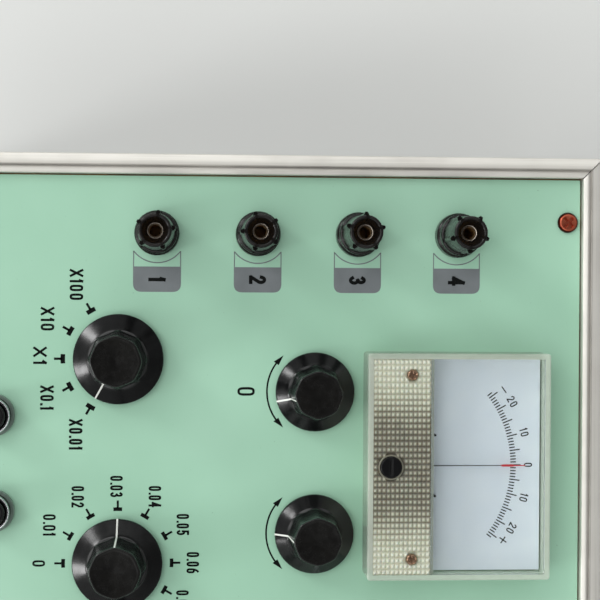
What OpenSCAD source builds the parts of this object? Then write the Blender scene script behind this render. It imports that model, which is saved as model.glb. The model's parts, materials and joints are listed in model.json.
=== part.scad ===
// Portable four-terminal resistance bridge with a built-in galvanometer, lying flat.
// +X runs to the panel's right, +Y to its back edge, +Z up out of the panel.
// u and v are measured on the panel from its back left corner, to the right and to the front.

/* [Case] */
// outside width of the case rim, left to right
case_w = 300; // [290:1:330]
// outside depth of the case rim, front to back
case_d = 255; // [250:1:280]
// height of the case from its floor's underside to the rim's top
case_h = 104; // [100:1:130]
// height of the feet under the floor
foot_h = 8; // [6:0.5:12]
// radius of a foot where it meets the floor
foot_r = 9.5; // [8:0.5:12]
// how much a foot narrows towards the ground
foot_taper = 1.5; // [0.5:0.5:3]
// distance of a foot's centre from the case's sides
foot_inset = 32; // [30:1:45]
// thickness of the walls and the floor
wall_t = 4.6; // [3.8:0.1:4.8]
// thickness of the metal edge sections
edge_t = 1.2; // [1:0.1:1.4]
// leg of the angles along the lower and upright edges
edge_leg = 18; // [14:1:20]

/* [Rim] */
// width of the rim seen from above
rim_w = 7.2; // [7:0.1:7.6]
// width of the rim's outer band
rim_band = 4.4; // [4:0.1:4.6]
// width of the groove between the two bands
rim_groove_w = 0.9; // [0.6:0.1:1.1]
// depth of that groove
rim_groove_d = 0.9; // [0.5:0.1:1.2]
// how far the inner band lies below the outer one
rim_step = 0.5; // [0.3:0.1:0.8]
// thickness of the rim's web over the walls
rim_web = 1.8; // [1.6:0.1:2.4]
// depth of the rim's outer leg down the wall
rim_leg = 16; // [10:1:20]
// open joint left at a mitre
mitre_gap = 0.1; // [0.05:0.05:0.3]
// open joint left between two boards or two iron pieces
seam = 0.06; // [0.04:0.01:0.1]

/* [Handle] */
// height of the handle's pivot above the floor's underside
handle_z = 72; // [65:1:80]
// distance between the handle's arms, middle to middle
handle_span = 94; // [80:1:120]
// length of an arm from pivot to grip
handle_arm = 34; // [30:1:40]
// radius of the grip
grip_r = 5.4; // [4.5:0.1:6]
// free space between grip and wall
grip_gap = 0.4; // [0.3:0.1:1]
// width of an arm
arm_w = 7; // [5:0.5:9]
// thickness of an arm
arm_t = 8; // [6:0.5:9]
// radius of the pivot pins
pin_r = 3; // [2.5:0.1:3.5]
// width of a bracket
bracket_w = 14; // [12:1:18]
// height of a bracket
bracket_h = 22; // [18:1:26]
// distance of a bumper's centre from the middle of the back wall
bumper_x = 105; // [90:1:115]
// radius of a bumper where it meets the wall
bumper_r = 9; // [7:0.5:10]
// height of the lower bumpers above the floor's underside
bumper_low_z = 34; // [30:1:45]
// height of the upper bumpers above the floor's underside
bumper_high_z = 74; // [60:1:76]

/* [Panel] */
// thickness of the panel
panel_t = 2; // [1.5:0.1:2.4]
// how far the panel lies below the rim's top
panel_drop = 3.5; // [3:0.1:5]
// open joint between the panel's edge and the rim
panel_gap = 0.6; // [0.4:0.1:1]
// width of the battens under the panel's edges
batten_w = 12; // [10:1:16]
// height of the battens
batten_h = 12; // [10:1:16]
// distance of a panel screw from the panel's left or right edge
screw_u = 15.4; // [12:0.2:20]
// distance of a panel screw from the panel's back or front edge
screw_v = 4.6; // [4.4:0.2:6]
// radius of a panel screw's head
screw_head_r = 3.7; // [3:0.1:4]
// height of a panel screw's head
screw_head_h = 2.2; // [1.6:0.1:2.6]
// radius of a panel screw's shank
screw_r = 2; // [1.5:0.1:2.2]
// length of a panel screw's shank
screw_l = 11; // [8:0.5:12]

/* [Binding posts] */
// distance of the posts' row from the panel's left edge
post_u = 20.5; // [19:0.5:24]
// distance of the rearmost post from the panel's back edge
post_v = 45.2; // [40:0.2:50]
// distance from post to post
post_pitch = 36; // [30:0.5:38]
// radius of the insulating base
post_base_r = 8; // [7.6:0.1:9]
// height of the insulating base
post_base_h = 6; // [4:0.5:8]
// radius of the base's neck through the panel
post_neck_r = 4.1; // [3.6:0.1:4.5]
// radius of the threaded stud
stud_r = 2.7; // [2.5:0.1:2.9]
// height of the stud's end above the panel
stud_top = 26; // [24:0.5:27]
// length of the stud under the panel
stud_tail = 17; // [14:0.5:20]
// radius of the plug socket in the stud
socket_r = 2.05; // [2:0.01:2.1]
// depth of the plug socket
socket_l = 17; // [14:0.5:17.5]
// radius of the insulating pad under the panel
pad_r = 7; // [6:0.1:7.5]
// thickness of that pad
pad_t = 2; // [1.5:0.1:3]
// radius of a stud's nut, over its corners
stud_nut_r = 5.2; // [4.8:0.1:5.8]
// height of a stud's nut
stud_nut_h = 3.2; // [2.4:0.1:4]
// radius of the clamping washer
washer_r = 7.2; // [6.5:0.1:7.6]
// thickness of the clamping washer
washer_t = 1.2; // [0.8:0.1:1.6]
// height of the cap's top above the panel
cap_top = 31; // [29.5:0.5:33]
// radius of the cap's lower flange
cap_flange_r = 7.4; // [7:0.1:7.8]
// height of the cap's lower flange
cap_flange_h = 3.2; // [2:0.1:4]
// radius of the cap's grip at its foot
cap_grip_r = 6.4; // [6.2:0.1:6.8]
// ribs around the cap's grip
cap_ribs = 5; // [3:1:8]
// how far a rib reaches from the cap's axis
cap_rib_r = 6.7; // [6.6:0.1:7]
// width of a rib
cap_rib_w = 1; // [0.8:0.1:1.4]
// radius of the ring at the cap's top
cap_ring_r = 5.85; // [5.6:0.05:6.2]
// height of that ring
cap_ring_h = 3.6; // [3:0.1:5]
// radius of the funnel's mouth in the cap's top
funnel_r = 4.5; // [4:0.1:5]
// depth of the funnel
funnel_d = 4; // [3:0.1:5]

/* [Dials] */
// distance of the three dials from the panel's front edge
dial_front = 72.7; // [70:0.5:78]
// distance of the multiplier knob from the panel's left edge
range_u = 65.5; // [62:0.5:68]
// distance of the slide wire dial from the panel's right edge
slide_right = 66.4; // [60:0.2:68]
// distance from the step knob to the slide wire dial
step_pitch = 79.5; // [76:0.5:84]
// distance of the two small knobs from the panel's back edge
small_v = 96.4; // [94:0.2:99]
// distance from one small knob to the other
small_pitch = 51; // [48:0.5:54]
// radius of a dial knob's skirt
skirt_r = 16.1; // [14:0.1:17]
// radius of a small knob's skirt
small_skirt_r = 14.2; // [13:0.1:15]
// radius of a dial knob's grip where it meets the skirt
grip_base_r = 10.2; // [9.6:0.1:11]
// radius of a small knob's grip where it meets the skirt
small_grip_base_r = 9.6; // [9.4:0.1:10]
// how much a grip narrows towards its top
grip_taper = 1.2; // [0.5:0.1:2]
// height of a knob's top above the panel
knob_top = 21; // [19:0.5:24]
// gap between a skirt and the panel
skirt_gap = 1.6; // [1:0.1:2]
// thickness of a skirt's edge
skirt_edge = 1; // [0.8:0.1:1.6]
// height of a skirt
skirt_h = 4.8; // [4:0.1:6]
// hollows around a knob's grip
flutes = 8; // [6:1:10]
// radius of a hollow
flute_r = 5; // [4:0.1:6]
// depth of a hollow
flute_d = 1.3; // [0.8:0.1:1.6]
// radius of the slide wire dial
disc_r = 46; // [42:0.5:47]
// thickness of the slide wire dial
disc_t = 2.5; // [2:0.1:3]
// height of the slide wire dial's underside above the panel
disc_z = 3; // [2.8:0.1:4]
// radius of the slide wire knob's grip
slide_grip_r = 15; // [13:0.5:18]
// height of the slide wire knob's top above the panel
slide_top = 26; // [24:0.5:30]
// how far the slide wire knob's foot stands out round its grip
slide_foot_w = 2; // [1:0.1:3]
// height of that foot
slide_foot_h = 3; // [2:0.1:4]
// radius of the control shafts
shaft_r = 3; // [2.8:0.1:3.2]
// radius of the threaded bushes the shafts run in
bush_r = 4.75; // [4.5:0.05:5]
// height of a bush above the panel
bush_top = 4.4; // [4:0.1:4.6]
// radius of a bush nut, over its corners
nut_r = 7; // [6.8:0.1:7.4]
// height of a bush nut
nut_h = 2.4; // [2:0.1:2.6]

/* [Switches under the panel] */
// radius of a switch's index plate
index_r = 17; // [15:0.5:18]
// thickness of the index plate
index_t = 4; // [3:0.5:5]
// radius of a switch wafer
wafer_r = 20; // [18:0.5:21]
// thickness of a wafer
wafer_t = 1.6; // [1.2:0.1:2]
// distance from wafer to wafer
wafer_pitch = 11; // [9:0.5:12]
// distance of the tie rods from the shaft
rod_off = 14; // [12:0.5:14]
// radius of a tie rod
rod_r = 1.8; // [1.5:0.1:2]
// radius of a potentiometer
pot_r = 11.5; // [10:0.1:12]
// depth of a potentiometer
pot_h = 12; // [9:0.5:14]
// outer radius of the slide wire's former
former_r = 36; // [32:0.5:37]
// wall of the former
former_t = 4; // [3:0.5:5]
// height of the former under its plate
former_h = 12; // [9:0.5:14]
// thickness of the former's plate
former_plate = 3; // [2:0.5:4]

/* [Meter] */
// distance of the meter's middle from the panel's left edge
meter_u = 102.5; // [100:0.5:105]
// distance of the needle's axis from the panel's back edge
pivot_v = 67; // [66.5:0.1:67.5]
// width of the clear cover
cover_w = 80; // [78:0.5:82]
// depth of the clear cover
cover_d = 65; // [64:0.5:66]
// height of the clear cover
cover_h = 16; // [15.6:0.1:18]
// thickness of the cover's walls and top
cover_t = 2; // [1.6:0.1:2.2]
// distance from the needle's axis to the cover's front face
cover_front = 11.7; // [11.4:0.1:12.5]
// distance from the needle's axis to the baffle inside the cover
baffle_y = 11.2; // [10.6:0.1:12]
// thickness of that baffle
baffle_t = 1.2; // [1:0.1:1.6]
// height of that baffle below the cover's top
baffle_h = 2.6; // [2:0.1:2.8]
// sideways distance of a cover screw from the needle's axis
cover_screw_x = 32.4; // [31:0.2:33]
// distance of the cover screws behind the needle's axis
cover_screw_y = 3.9; // [3.8:0.1:4.4]
// radius of a cover screw's head
cover_screw_head_r = 2; // [1.8:0.1:2.4]
// height of a cover screw's head
cover_screw_head_h = 1.2; // [1:0.1:1.5]
// radius of a cover screw's shank
cover_screw_r = 1.2; // [1:0.1:1.4]
// thickness of the meter's base inside the cover
base_t = 3; // [2.5:0.1:3.5]
// width of the meter's housing under the panel
housing_w = 46; // [44:0.5:48]
// distance from the needle's axis to the housing's back face
housing_back = 38; // [34:0.5:44]
// wall of the housing
housing_t = 1.6; // [1.2:0.1:1.8]
// depth of the housing under the panel's top
housing_h = 34; // [33.5:0.5:38]
// height of the scale plate's top above the panel
scale_z = 8; // [7:0.1:8.5]
// thickness of the scale plate
scale_t = 0.8; // [0.6:0.1:1]
// distance from the needle's axis to the scale plate's front edge
scale_front = 8.6; // [8:0.1:9.5]
// sideways distance of the flange studs from the needle's axis
flange_stud_x = 33; // [32:0.5:34]
// distance of the flange studs from the middle of the base
flange_stud_y = 23; // [22:0.5:25]
// radius of a flange stud
flange_stud_r = 1.5; // [1.2:0.1:1.8]
// length of a flange stud under the panel's top
flange_stud_l = 9; // [8:0.5:12]
// radius of a terminal stud
terminal_r = 2; // [1.6:0.1:2.2]
// sideways distance of a terminal stud from the needle's axis
terminal_x = 13; // [12:0.5:15]
// distance of the terminal studs behind the needle's axis
terminal_y = 31; // [29:0.5:32]
// length of a terminal stud below the housing
terminal_l = 12; // [10:0.5:14]
// radius of the zero adjuster's head
adjuster_r = 3.7; // [3.4:0.1:4]
// distance of the zero adjuster in front of the needle's axis
adjuster_y = 3.5; // [3:0.1:4]

/* [Movement] */
// radius of the soft iron core
core_r = 5; // [4.6:0.1:5]
// height of core, pole pieces and magnet
core_h = 14; // [12:0.5:14.5]
// depth of their underside below the panel's top
core_low = 24; // [23.5:0.5:25]
// radius of the bore between the pole pieces
bore_r = 7.4; // [7.3:0.1:7.5]
// half the width over the pole pieces
pole_x = 12; // [11.8:0.1:12.4]
// half the depth of the pole pieces
pole_y = 7.6; // [7.5:0.1:7.8]
// half the slot between the pole pieces
pole_slot = 3; // [2.6:0.1:3.4]
// thickness of the magnet's legs
magnet_t = 4.5; // [4:0.1:4.8]
// distance from the needle's axis to the ends of the magnet's legs
magnet_front = 6; // [5:0.5:7]
// distance from the needle's axis to the inside of the magnet's bow
magnet_back = 19; // [16:0.5:22]
// thickness of the magnet's bow
magnet_bow = 6; // [5:0.5:8]
// half the inner width of the moving coil
coil_in = 5.5; // [5.4:0.1:5.6]
// thickness of the coil's winding
coil_t = 1.2; // [1:0.1:1.3]
// width of the coil's winding
coil_w = 2.4; // [2:0.1:2.8]
// free height between coil and core
coil_clear = 1.8; // [1.4:0.1:1.9]
// radius of the staffs
staff_r = 0.8; // [0.6:0.1:0.9]
// radius of the staffs' points
point_r = 0.35; // [0.3:0.05:0.4]
// length of a staff's point in its bearing
point_l = 0.8; // [0.6:0.1:0.9]
// height of the upper bearing bridge above the panel
bridge_z = 11; // [10.9:0.1:11.2]
// thickness of the bearing bridges
bridge_t = 1.2; // [1:0.1:1.3]
// width of the bearing bridges
bridge_w = 5; // [4:0.5:6]
// sideways distance of the upper bridge's pillars
pillar_x = 27; // [26.5:0.1:27.2]
// radius of a pillar
pillar_r = 2; // [1.6:0.1:2.2]
// length of the needle from its axis
needle_l = 45.2; // [44:0.2:48]
// width of the needle
needle_w = 0.6; // [0.5:0.1:0.8]
// length of the needle's tail
needle_tail = 6; // [4:0.1:7]
// radius of the needle's hub
hub_r = 2.2; // [1.8:0.1:2.5]
// height of the needle's hub
hub_h = 1; // [0.8:0.1:1.2]
// turns of a hairspring
hair_turns = 3.5; // [2.5:0.5:4.5]
// outer radius of a hairspring
hair_r = 5.4; // [4.5:0.1:6]
// thickness of a hairspring's strip
hair_w = 0.25; // [0.2:0.05:0.3]
// height of a hairspring's strip
hair_h = 0.5; // [0.3:0.1:0.6]

/* [Buttons] */
// distance of the two push buttons from the panel's front edge
button_front = 28.6; // [26:0.2:32]
// distance from one push button to the other
button_pitch = 34; // [30:0.5:40]
// radius of a button's collar on the panel
collar_r = 8.2; // [7.8:0.1:9]
// height of a button's collar
collar_h = 2.2; // [1.5:0.1:3]
// radius of a button's bright bezel
bezel_r = 6.6; // [6.4:0.1:7]
// height of a bezel's top above the panel
bezel_top = 7; // [6:0.2:9]
// radius of a button's barrel under the panel
button_barrel_r = 6.4; // [6.2:0.1:6.6]
// radius of a button's cap
button_r = 5; // [4.6:0.1:5.2]
// height of a button's cap above its bezel
button_rise = 2; // [1.5:0.1:4]
// depth of a button's cap below the panel's top
button_sink = 5; // [4:0.5:6]
// travel of a button
button_travel = 3; // [2:0.5:3.5]
// width of the contact block under a button
block_w = 15; // [14:0.5:18]
// height of the contact block
block_h = 10; // [8:0.5:14]

/* [Sockets and power switch] */
// distance of the four outer sockets from the panel's back edge
jack_v = 40; // [32:0.5:60]
// distance of the last outer socket from the panel's right edge
jack_right = 26.4; // [24:0.2:32]
// distance from one outer socket to the next
jack_pitch = 26; // [19:0.5:28]
// radius of an outer socket's insulating collar
jack_r = 6; // [5.5:0.1:7]
// height of an outer socket's collar
jack_h = 4; // [3:0.1:6]
// depth of an outer socket's bore
jack_l = 20; // [16:0.5:24]
// radius of an outer socket's neck through the panel
jack_neck_r = 4.2; // [4:0.1:4.5]
// radius of an outer socket's nut, over its corners
jack_nut_r = 6.7; // [6.2:0.1:7.5]
// distance of the power switch from the panel's right edge
power_right = 104.4; // [96:0.2:108]
// distance of the power switch from the panel's back edge
power_v = 88; // [80:0.5:92]
// radius of the power switch's bush
power_bush_r = 5.6; // [5.2:0.1:6]
// height of the power switch's bush above the panel
power_bush_top = 7; // [6:0.2:8]
// width of the power switch's body under the panel
power_body_w = 13; // [12:0.5:15]
// length of the power switch's body
power_body_l = 22; // [18:0.5:26]
// height of the power switch's body
power_body_h = 18; // [14:0.5:22]
// radius of the power switch's nut, over its corners
power_nut_r = 8; // [7.4:0.1:9]
// height of the power switch's nut
power_nut_h = 2; // [1.6:0.1:2.4]
// tilt of the power lever when off
lever_tilt = 12; // [8:1:13]
// radius of the cross pin that the power lever turns on
lever_pin_r = 0.8; // [0.6:0.1:1]
// length of the power lever above its ball
lever_l = 18; // [15:0.5:22]
// radius of the power lever's tip
lever_tip_r = 2.2; // [1.8:0.1:2.4]
// radius of the power lever's neck
lever_r = 1.4; // [1.2:0.1:1.5]
// radius of the power lever's ball
ball_r = 3; // [2.6:0.1:3.2]

/* [Inside the case] */
// length of a cell
cell_l = 61; // [60:0.5:62]
// radius of a cell
cell_r = 16.5; // [16:0.1:17]
// cells side by side
cells = 4; // [2:1:4]
// wall of the battery box
box_t = 2; // [1.5:0.5:3]
// height of the battery box
box_h = 30; // [20:1:36]
// distance of the battery box from the right and the back wall
box_inset = 18; // [14:1:24]
// length of the amplifier board
board_l = 92; // [80:1:100]
// width of the amplifier board
board_w = 64; // [50:1:70]
// thickness of the amplifier board
board_t = 1.6; // [1.2:0.1:2]
// height of the board's pillars
board_rise = 10; // [8:0.5:14]
// distance of the board from the left and the front wall
board_inset = 30; // [24:1:36]

/* [Fits] */
// clearance of a shaft, stud or cap in its hole
fit = 0.1; // [0.05:0.01:0.15]
// clearance between a fixed piece and its hole
ease = 0.2; // [0.1:0.05:0.3]

/* [Hidden] */
$fn = 64;
// overlap of two shapes that are one piece
eps = 0.01;
// longer than anything here, for cuts that go right through
far = 400;
// how far a blind cut starts outside its face
over = 1;
// play of a fixed fastener in its hole
nudge = 0.05;
foot_half = case_w / 2 - foot_inset;
foot_half_y = case_d / 2 - foot_inset;
rim_top = foot_h + case_h;
panel_top = rim_top - panel_drop;
panel_low = panel_top - panel_t;
panel_w = case_w - 2 * (rim_w + panel_gap);
panel_d = case_d - 2 * (rim_w + panel_gap);
wall_x = case_w / 2 - edge_t;
wall_y = case_d / 2 - edge_t;
floor_top = foot_h + wall_t;
wall_high = rim_top - rim_web;
cap_low = post_base_h + washer_t;
cap_bore_r = stud_r + 1.5 * fit;
cap_neck_h = 1.6;
rib_rise = 0.6;
// how far each cap is screwed round, in degrees, from the back post on
cap_turns = [0, 34, 54, 26];
slide_u = panel_w - slide_right;
step_u = slide_u - step_pitch;
dial_v = panel_d - dial_front;
jack_u = panel_w - jack_right - 3 * jack_pitch;
power_u = panel_w - power_right;
button_v = panel_d - button_front;
b_u = meter_u - button_pitch / 2;
g_u = meter_u + button_pitch / 2;
zero_u = meter_u - small_pitch / 2;
sens_u = meter_u + small_pitch / 2;
nut_room_r = nut_r + 1;
nut_room_h = bush_top + 0.5;
knob_roof = 4;
shaft_top = knob_top - knob_roof;
slide_shaft_top = slide_top - knob_roof;
wafer_ease = 1;
pot_floor = 1.5;
shaft_tail = 2;
shaft_low = -panel_t - index_t - 2 * wafer_pitch - wafer_t - shaft_tail;
wiper_t = 1.5;
wiper_gap = 0.3;
slide_shaft_low = -panel_t - former_plate - former_h - wiper_gap - 3 * wiper_t;
former_lip = 2;
dish_rim = 1;
dish_d = 0.5;
grip_cut = 0.8;
cover_back = cover_d - cover_front;
cover_mid = cover_back - cover_d / 2;
base_inset = cover_t + ease;
boss_r = 3;
scale_post_r = 2.4;
pole_foot_r = 2;
housing_front = cover_front - base_inset;
housing_d = housing_front + housing_back;
housing_floor = 2;
stud_roof = 0.8;
small_nut_h = 2.5;
magnet_x = pole_x + magnet_t;
core_high = core_h - core_low;
coil_low = -core_low - coil_clear - coil_t;
coil_high = core_high + coil_clear + coil_t;
bridge_room = 2.8;
lower_bridge = coil_low - bridge_room;
needle_room = 0.4;
needle_z = bridge_z - hub_h - needle_room;
hair_upper_z = scale_z - 2;
hair_lower_z = coil_low - hair_h - bridge_room / 4;
hair_in_r = 1.2;
collet_r = 1.4;
hair_steps = 28;
adjuster_top = cover_h + 1;
adjuster_lip_r = adjuster_r + 0.8;
adjuster_lip_z = cover_h - cover_t - 1.1;
slot_w = 0.9;
slot_d = 0.8;
screw_spare = 0.5;
well_r = button_r + fit;
spring_in_r = 3.4;
spring_out_r = 4.2;
button_well = button_sink + 3 * button_travel;
block_top = -button_well - 2;
block_nut_r = 9.5;
block_nut_h = 3;
lever_z = 1;
lever_pin_l = ball_r + power_bush_r;
bracket_y = wall_y + grip_gap + 2 * grip_r - nudge;
pivot_y = -wall_y - grip_gap - grip_r;
pivot_z = foot_h + handle_z;
bracket_x = handle_span / 2 + arm_w / 2 + bracket_w / 2 + fit * 3;
pin_x = bracket_x + bracket_w / 2;
bumper_h = grip_gap + 2 * grip_r;
cell_gap = 1;
cell_pitch = 2 * cell_r + cell_gap;
box_w = cells * cell_pitch + cell_gap + 2 * box_t;
box_l = cell_l + 2 * cell_gap + 2 * box_t;
box_x = wall_x - wall_t - box_inset - box_w / 2;
box_y = wall_y - wall_t - box_inset - box_l / 2;
board_x = -wall_x + wall_t + board_inset + board_l / 2;
board_y = -wall_y + wall_t + board_inset + board_w / 2;
board_post_r = 4;

// a place on the panel's top, measured from its back left corner
module on_panel(u, v) {
    translate([u - panel_w / 2, panel_d / 2 - v, panel_top]) children();
}

// a place on the needle's axis, at the panel's top
module at_pivot() {
    on_panel(meter_u, pivot_v) children();
}

// the same thing in all four corners
module four(x, y) {
    for (sx = [-1, 1], sy = [-1, 1]) translate([sx * x, sy * y, 0]) children();
}

// the same thing left and right
module pair(x) {
    for (sx = [-1, 1]) translate([sx * x, 0, 0]) children();
}

// a plain tube standing on z = 0
module tube(r_out, r_in, h) {
    difference() {
        cylinder(r = r_out, h = h);
        translate([0, 0, -over]) cylinder(r = r_in, h = h + 2 * over);
    }
}

// a six-sided nut standing on z = 0
module hex_nut(r_out, r_in, h) {
    difference() {
        cylinder(r = r_out, h = h, $fn = 6);
        translate([0, 0, -over]) cylinder(r = r_in, h = h + 2 * over);
    }
}

// a metal section along the left edge, mitred at both ends
module mitred_rail(half_span, length, width, z) {
    translate([0, 0, z]) intersection() {
        translate([-half_span, length / 2, 0]) rotate([90, 0, 0]) linear_extrude(length) children();
        translate([0, 0, -far / 2]) linear_extrude(far) polygon([
            [-half_span - eps, mitre_gap - length / 2],
            [-half_span - eps, length / 2 - mitre_gap],
            [width - half_span, length / 2 - width - mitre_gap],
            [width - half_span, width + mitre_gap - length / 2]
        ]);
    }
}

// the same section along all four edges
module mitred_frame(width, z) {
    for (turn = [0, 180]) rotate([0, 0, turn]) mitred_rail(case_w / 2, case_d, width, z) children();
    for (turn = [90, 270]) rotate([0, 0, turn]) mitred_rail(case_d / 2, case_w, width, z) children();
}

module floor_panel() {
    color([0.15, 0.16, 0.17])
        translate([-wall_x, -wall_y, foot_h]) cube([2 * wall_x, 2 * wall_y, wall_t]);
}

module case_walls() {
    tall = wall_high - floor_top;
    inside = wall_x - wall_t;
    color([0.15, 0.16, 0.17]) {
        for (turn = [0, 180]) rotate([0, 0, turn])
            translate([-wall_x, -wall_y, floor_top]) cube([wall_t, 2 * wall_y, tall]);
        for (turn = [0, 180]) rotate([0, 0, turn])
            translate([seam - inside, -wall_y, floor_top]) cube([2 * (inside - seam), wall_t, tall]);
    }
}

module rim_frame() {
    inner = rim_band + rim_groove_w;
    leg = panel_drop + panel_t;
    color([0.82, 0.83, 0.83]) mitred_frame(rim_w, rim_top) polygon([
        [0, 0], [rim_band, 0], [rim_band, -rim_groove_d], [inner, -rim_groove_d],
        [inner, -rim_step], [rim_w, -rim_step], [rim_w, -leg], [rim_w - edge_t, -leg],
        [rim_w - edge_t, -rim_web], [edge_t, -rim_web], [edge_t, -rim_leg], [0, -rim_leg]
    ]);
}

// the two legs of an edge angle, from its outer corner
module angle_profile() {
    polygon([
        [0, 0], [edge_leg, 0], [edge_leg, edge_t], [edge_t, edge_t], [edge_t, edge_leg], [0, edge_leg]
    ]);
}

module edge_angles() {
    low = foot_h - edge_t;
    tall = rim_top - rim_leg - low - edge_leg;
    color([0.8, 0.81, 0.81]) {
        mitred_frame(edge_leg, low) angle_profile();
        for (sx = [0, 1], sy = [0, 1]) mirror([sx, 0, 0]) mirror([0, sy, 0])
            translate([-case_w / 2, -case_d / 2, low + edge_leg + seam])
                linear_extrude(tall - seam) angle_profile();
    }
}

module rubber_feet() {
    color([0.08, 0.08, 0.08]) {
        four(foot_half, foot_half_y) cylinder(r1 = foot_r - foot_taper, r2 = foot_r, h = foot_h);
        for (z = [bumper_low_z, bumper_high_z]) pair(bumper_x) translate([0, wall_y, foot_h + z])
            rotate([-90, 0, 0]) cylinder(r1 = bumper_r, r2 = bumper_r - foot_taper, h = bumper_h);
    }
}

module handle_brackets() {
    deep = bracket_y - wall_y;
    color([0.7, 0.71, 0.72]) pair(bracket_x) difference() {
        translate([-bracket_w / 2, -bracket_y, pivot_z - bracket_h / 2]) cube([bracket_w, deep, bracket_h]);
        translate([-bracket_w, pivot_y, pivot_z]) rotate([0, 90, 0])
            cylinder(r = pin_r + fit, h = 2 * bracket_w);
    }
}

module handle_bail() {
    color([0.1, 0.1, 0.1]) translate([0, pivot_y, pivot_z]) {
        pair(handle_span / 2) {
            translate([-arm_w / 2, 0, 0]) rotate([0, 90, 0]) cylinder(r = arm_t / 2, h = arm_w);
            translate([-arm_w / 2, -arm_t / 2, -handle_arm]) cube([arm_w, arm_t, handle_arm]);
        }
        translate([-handle_span / 2 - arm_w / 2, 0, -handle_arm]) rotate([0, 90, 0])
            cylinder(r = grip_r, h = handle_span + arm_w);
        for (turn = [0, 180]) rotate([0, 0, turn]) translate([handle_span / 2, 0, 0]) rotate([0, 90, 0])
            cylinder(r = pin_r, h = pin_x - handle_span / 2);
    }
}

module panel_battens() {
    in_x = wall_x - wall_t;
    in_y = wall_y - wall_t;
    color([0.55, 0.42, 0.28]) difference() {
        union() {
            for (turn = [0, 180]) rotate([0, 0, turn])
                translate([-in_x, -in_y, panel_low - batten_h]) cube([2 * in_x, batten_w, batten_h]);
            for (turn = [0, 180]) rotate([0, 0, turn])
                translate([-in_x, batten_w + seam - in_y, panel_low - batten_h])
                    cube([batten_w, 2 * (in_y - batten_w - seam), batten_h]);
        }
        four(panel_w / 2 - screw_u, panel_d / 2 - screw_v)
            translate([0, 0, panel_top - screw_l - screw_spare]) cylinder(r = screw_r + nudge, h = far);
    }
}

// a round hole right through, about z = 0
module through(r) {
    cylinder(r = r, h = far, center = true);
}

// the openings in the panel, each as wide as the piece that goes through
module panel_holes() {
    for (i = [0 : 3]) on_panel(post_u, post_v + i * post_pitch) through(post_neck_r + fit);
    for (u = [range_u, step_u, slide_u]) on_panel(u, dial_v) through(bush_r + fit);
    for (u = [zero_u, sens_u]) on_panel(u, small_v) through(bush_r + fit);
    at_pivot() {
        translate([-housing_w / 2 - ease, -housing_front - ease, -far / 2])
            cube([housing_w + 2 * ease, housing_d + 2 * ease, far]);
        translate([0, cover_mid, 0]) four(flange_stud_x, flange_stud_y) through(flange_stud_r + fit);
    }
    for (u = [b_u, g_u]) on_panel(u, button_v) through(button_barrel_r + fit);
    for (i = [0 : 3]) on_panel(jack_u + i * jack_pitch, jack_v) through(jack_neck_r + fit);
    on_panel(power_u, power_v) through(power_bush_r + fit);
    four(panel_w / 2 - screw_u, panel_d / 2 - screw_v) through(screw_r + fit);
}

module panel() {
    color([0.64, 0.8, 0.7]) difference() {
        translate([-panel_w / 2, -panel_d / 2, panel_low]) cube([panel_w, panel_d, panel_t]);
        panel_holes();
    }
}

module panel_screws() {
    dome_r = 2.2 * screw_head_r;
    cross_l = 1.2 * screw_head_r;
    color([0.62, 0.33, 0.27]) four(panel_w / 2 - screw_u, panel_d / 2 - screw_v)
        translate([0, 0, panel_top]) difference() {
            union() {
                intersection() {
                    cylinder(r = screw_head_r, h = screw_head_h);
                    translate([0, 0, screw_head_h - dome_r]) sphere(r = dome_r);
                }
                translate([0, 0, -screw_l]) cylinder(r = screw_r, h = screw_l + eps);
            }
            for (turn = [45, 135]) rotate([0, 0, turn])
                translate([-cross_l / 2, -slot_w / 2, screw_head_h - slot_d])
                    cube([cross_l, slot_w, over + slot_d]);
        }
}

module post_bushes() {
    edge = 0.8;
    color([0.07, 0.07, 0.08]) for (i = [0 : 3]) on_panel(post_u, post_v + i * post_pitch) {
        rotate_extrude() polygon([
            [stud_r + fit, -panel_t], [post_neck_r, -panel_t], [post_neck_r, 0], [post_base_r, 0],
            [post_base_r, post_base_h - edge], [post_base_r - edge, post_base_h], [stud_r + fit, post_base_h]
        ]);
        translate([0, 0, -panel_t - pad_t]) tube(pad_r, stud_r + fit, pad_t);
    }
}

module post_studs() {
    color([0.78, 0.64, 0.34]) for (i = [0 : 3]) on_panel(post_u, post_v + i * post_pitch) {
        difference() {
            translate([0, 0, -stud_tail]) cylinder(r = stud_r, h = stud_tail + stud_top);
            translate([0, 0, stud_top - socket_l]) cylinder(r = socket_r, h = socket_l + over);
        }
        for (k = [0, 1]) translate([0, 0, -panel_t - pad_t - (k + 1) * (stud_nut_h + nudge)])
            hex_nut(stud_nut_r, stud_r + nudge, stud_nut_h);
    }
}

// the loose ring that presses the wire down, on post number i from the back
module clamp_washer(i) {
    color([0.8, 0.8, 0.78]) on_panel(post_u, post_v + i * post_pitch)
        translate([0, 0, post_base_h]) tube(washer_r, cap_bore_r, washer_t);
}

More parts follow.
